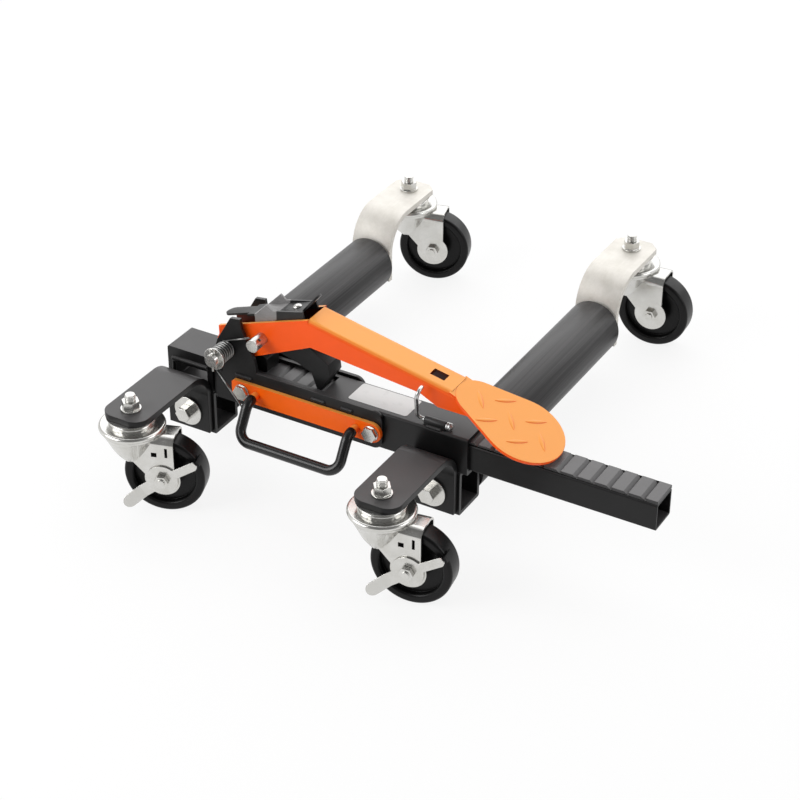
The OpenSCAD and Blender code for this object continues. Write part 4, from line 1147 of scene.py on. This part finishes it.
class DOLLY_OT_stage(bpy.types.Operator):
    """Floor, soft light and the camera"""

    bl_idname = "dolly.stage"
    bl_label = "Stage"

    def execute(self, context):
        scene = context.scene
        scene.view_settings.view_transform = "Standard"
        self.floor(scene)
        self.world(scene)
        self.lamps(scene)
        self.camera(scene)
        return {"FINISHED"}

    @staticmethod
    def floor(scene):
        """A pale floor that keeps the shadow and shows nearly white to the camera and in reflections."""
        mesh = bpy.data.meshes.new("floor")
        corners = [(x * FLOOR_HALF, y * FLOOR_HALF, -FLOOR_DROP)
                   for x, y in ((-1, -1), (1, -1), (1, 1), (-1, 1))]
        mesh.from_pydata(corners, [], [(0, 1, 2, 3)])
        floor = bpy.data.objects.new("floor", mesh)
        scene.collection.objects.link(floor)
        made = bpy.data.materials.new("pale_floor")
        made.use_nodes = True
        tree = made.node_tree
        shader = next(n for n in tree.nodes if n.type == "BSDF_PRINCIPLED")
        out = next(n for n in tree.nodes if n.type == "OUTPUT_MATERIAL")
        feed(shader, Base_Color=(0.9, 0.9, 0.9), Roughness=0.9)
        start = Shade(tree)
        seen = ray(start, "Camera") + ray(start, "Glossy") + ray(start, "Transmission")
        glow = start.node("ShaderNodeEmission", Color=(1, 1, 1, 1), Strength=1.0)
        mixed = start.node("ShaderNodeMixShader", i0=seen.between(0, 1) * FLOOR_GLOW,
                           i1=Shade(tree, shader.outputs[0]), i2=glow)
        tree.links.new(mixed.socket, out.inputs[0])
        mesh.materials.append(made)

    @staticmethod
    def world(scene):
        """White to the camera, a room with a darker side in reflections, and a soft fill."""
        world = bpy.data.worlds.new("studio")
        scene.world = world
        world.use_nodes = True
        tree = world.node_tree
        back = next(n for n in tree.nodes if n.type == "BACKGROUND")
        start = Shade(tree)
        seen = ray(start, "Camera") + ray(start, "Transmission")
        mirrored = ray(start, "Glossy")
        way = start.node("ShaderNodeTexCoord", out="Generated")
        dark_side = way.node("ShaderNodeVectorMath", {"operation": "DOT_PRODUCT"}, out="Value",
                             i0=way, i1=ROOM_SIDE)
        room = 1 - dark_side.between(0.1, 0.75) * ROOM_DARK
        strength = seen + mirrored * room + (1 - (seen + mirrored).between(0, 1)) * WORLD_FILL
        back.inputs[0].default_value = (1, 1, 1, 1)
        tree.links.new(strength.socket, back.inputs[1])

    @staticmethod
    def lamps(scene):
        """Soft boxes that look at the middle of the floor."""
        for name, place, size, watts in LAMPS:
            light = bpy.data.lights.new(name, "AREA")
            light.shape = "RECTANGLE"
            light.size, light.size_y = size
            light.energy = watts
            lamp = bpy.data.objects.new(name, light)
            lamp.location = place
            lamp.rotation_euler = (-Vector(place)).to_track_quat("-Z", "Y").to_euler()
            scene.collection.objects.link(lamp)

    @staticmethod
    def camera(scene):
        """The camera at the photograph's angle."""
        data = bpy.data.cameras.new("camera")
        data.sensor_width = CAMERA_SENSOR
        data.lens = CAMERA_LENS
        camera = bpy.data.objects.new("camera", data)
        around, above, roll = (math.radians(a) for a in (CAMERA_AROUND, CAMERA_ABOVE, CAMERA_ROLL))
        back = Vector((math.sin(around) * math.cos(above), -math.cos(around) * math.cos(above),
                       math.sin(above)))
        right = Vector((math.cos(around), math.sin(around), 0))
        up = back.cross(right)
        turned_right = right * math.cos(roll) + up * math.sin(roll)
        turned_up = up * math.cos(roll) - right * math.sin(roll)
        turn = Matrix((turned_right, turned_up, back)).transposed()
        camera.matrix_world = Matrix.Translation(CAMERA_PLACE) @ turn.to_4x4()
        scene.collection.objects.link(camera)
        scene.camera = camera


class DOLLY_PT_panel(bpy.types.Panel):
    """Lists the dolly's pieces"""

    bl_idname = "DOLLY_PT_panel"
    bl_label = "Wheel dolly"
    bl_space_type = "VIEW_3D"
    bl_region_type = "UI"
    bl_category = "Dolly"

    def draw(self, context):
        column = self.layout.column()
        for step in STEPS:
            column.operator(step.bl_idname)
        for group in (context.scene.dolly_colours, context.scene.dolly_sizes):
            for key in group.bl_rna.properties.keys():
                if key not in ("rna_type", "name"):
                    column.prop(group, key)


STEPS = (
    DOLLY_OT_finish_solids,
    DOLLY_OT_tread_marks,
    DOLLY_OT_pedal_tongue,
    DOLLY_OT_weld_beads,
    DOLLY_OT_stem_threads,
    DOLLY_OT_fork_bosses,
    DOLLY_OT_brake_levers,
    DOLLY_OT_return_spring,
    DOLLY_OT_carry_handle,
    DOLLY_OT_lock_hook,
    DOLLY_OT_release_rivet,
    DOLLY_OT_blank_sticker,
    DOLLY_OT_stage,
)
CLASSES = (DollyColours, DollySizes, *STEPS, DOLLY_PT_panel)


def register():
    for made in CLASSES:
        bpy.utils.register_class(made)
    bpy.types.Scene.dolly_colours = PointerProperty(type=DollyColours)
    bpy.types.Scene.dolly_sizes = PointerProperty(type=DollySizes)


def unregister():
    del bpy.types.Scene.dolly_sizes
    del bpy.types.Scene.dolly_colours
    for made in reversed(CLASSES):
        bpy.utils.unregister_class(made)


def main():
    register()
    for step in STEPS:
        group, name = step.bl_idname.split(".")
        getattr(getattr(bpy.ops, group), name)()


if __name__ == "__main__":
    main()
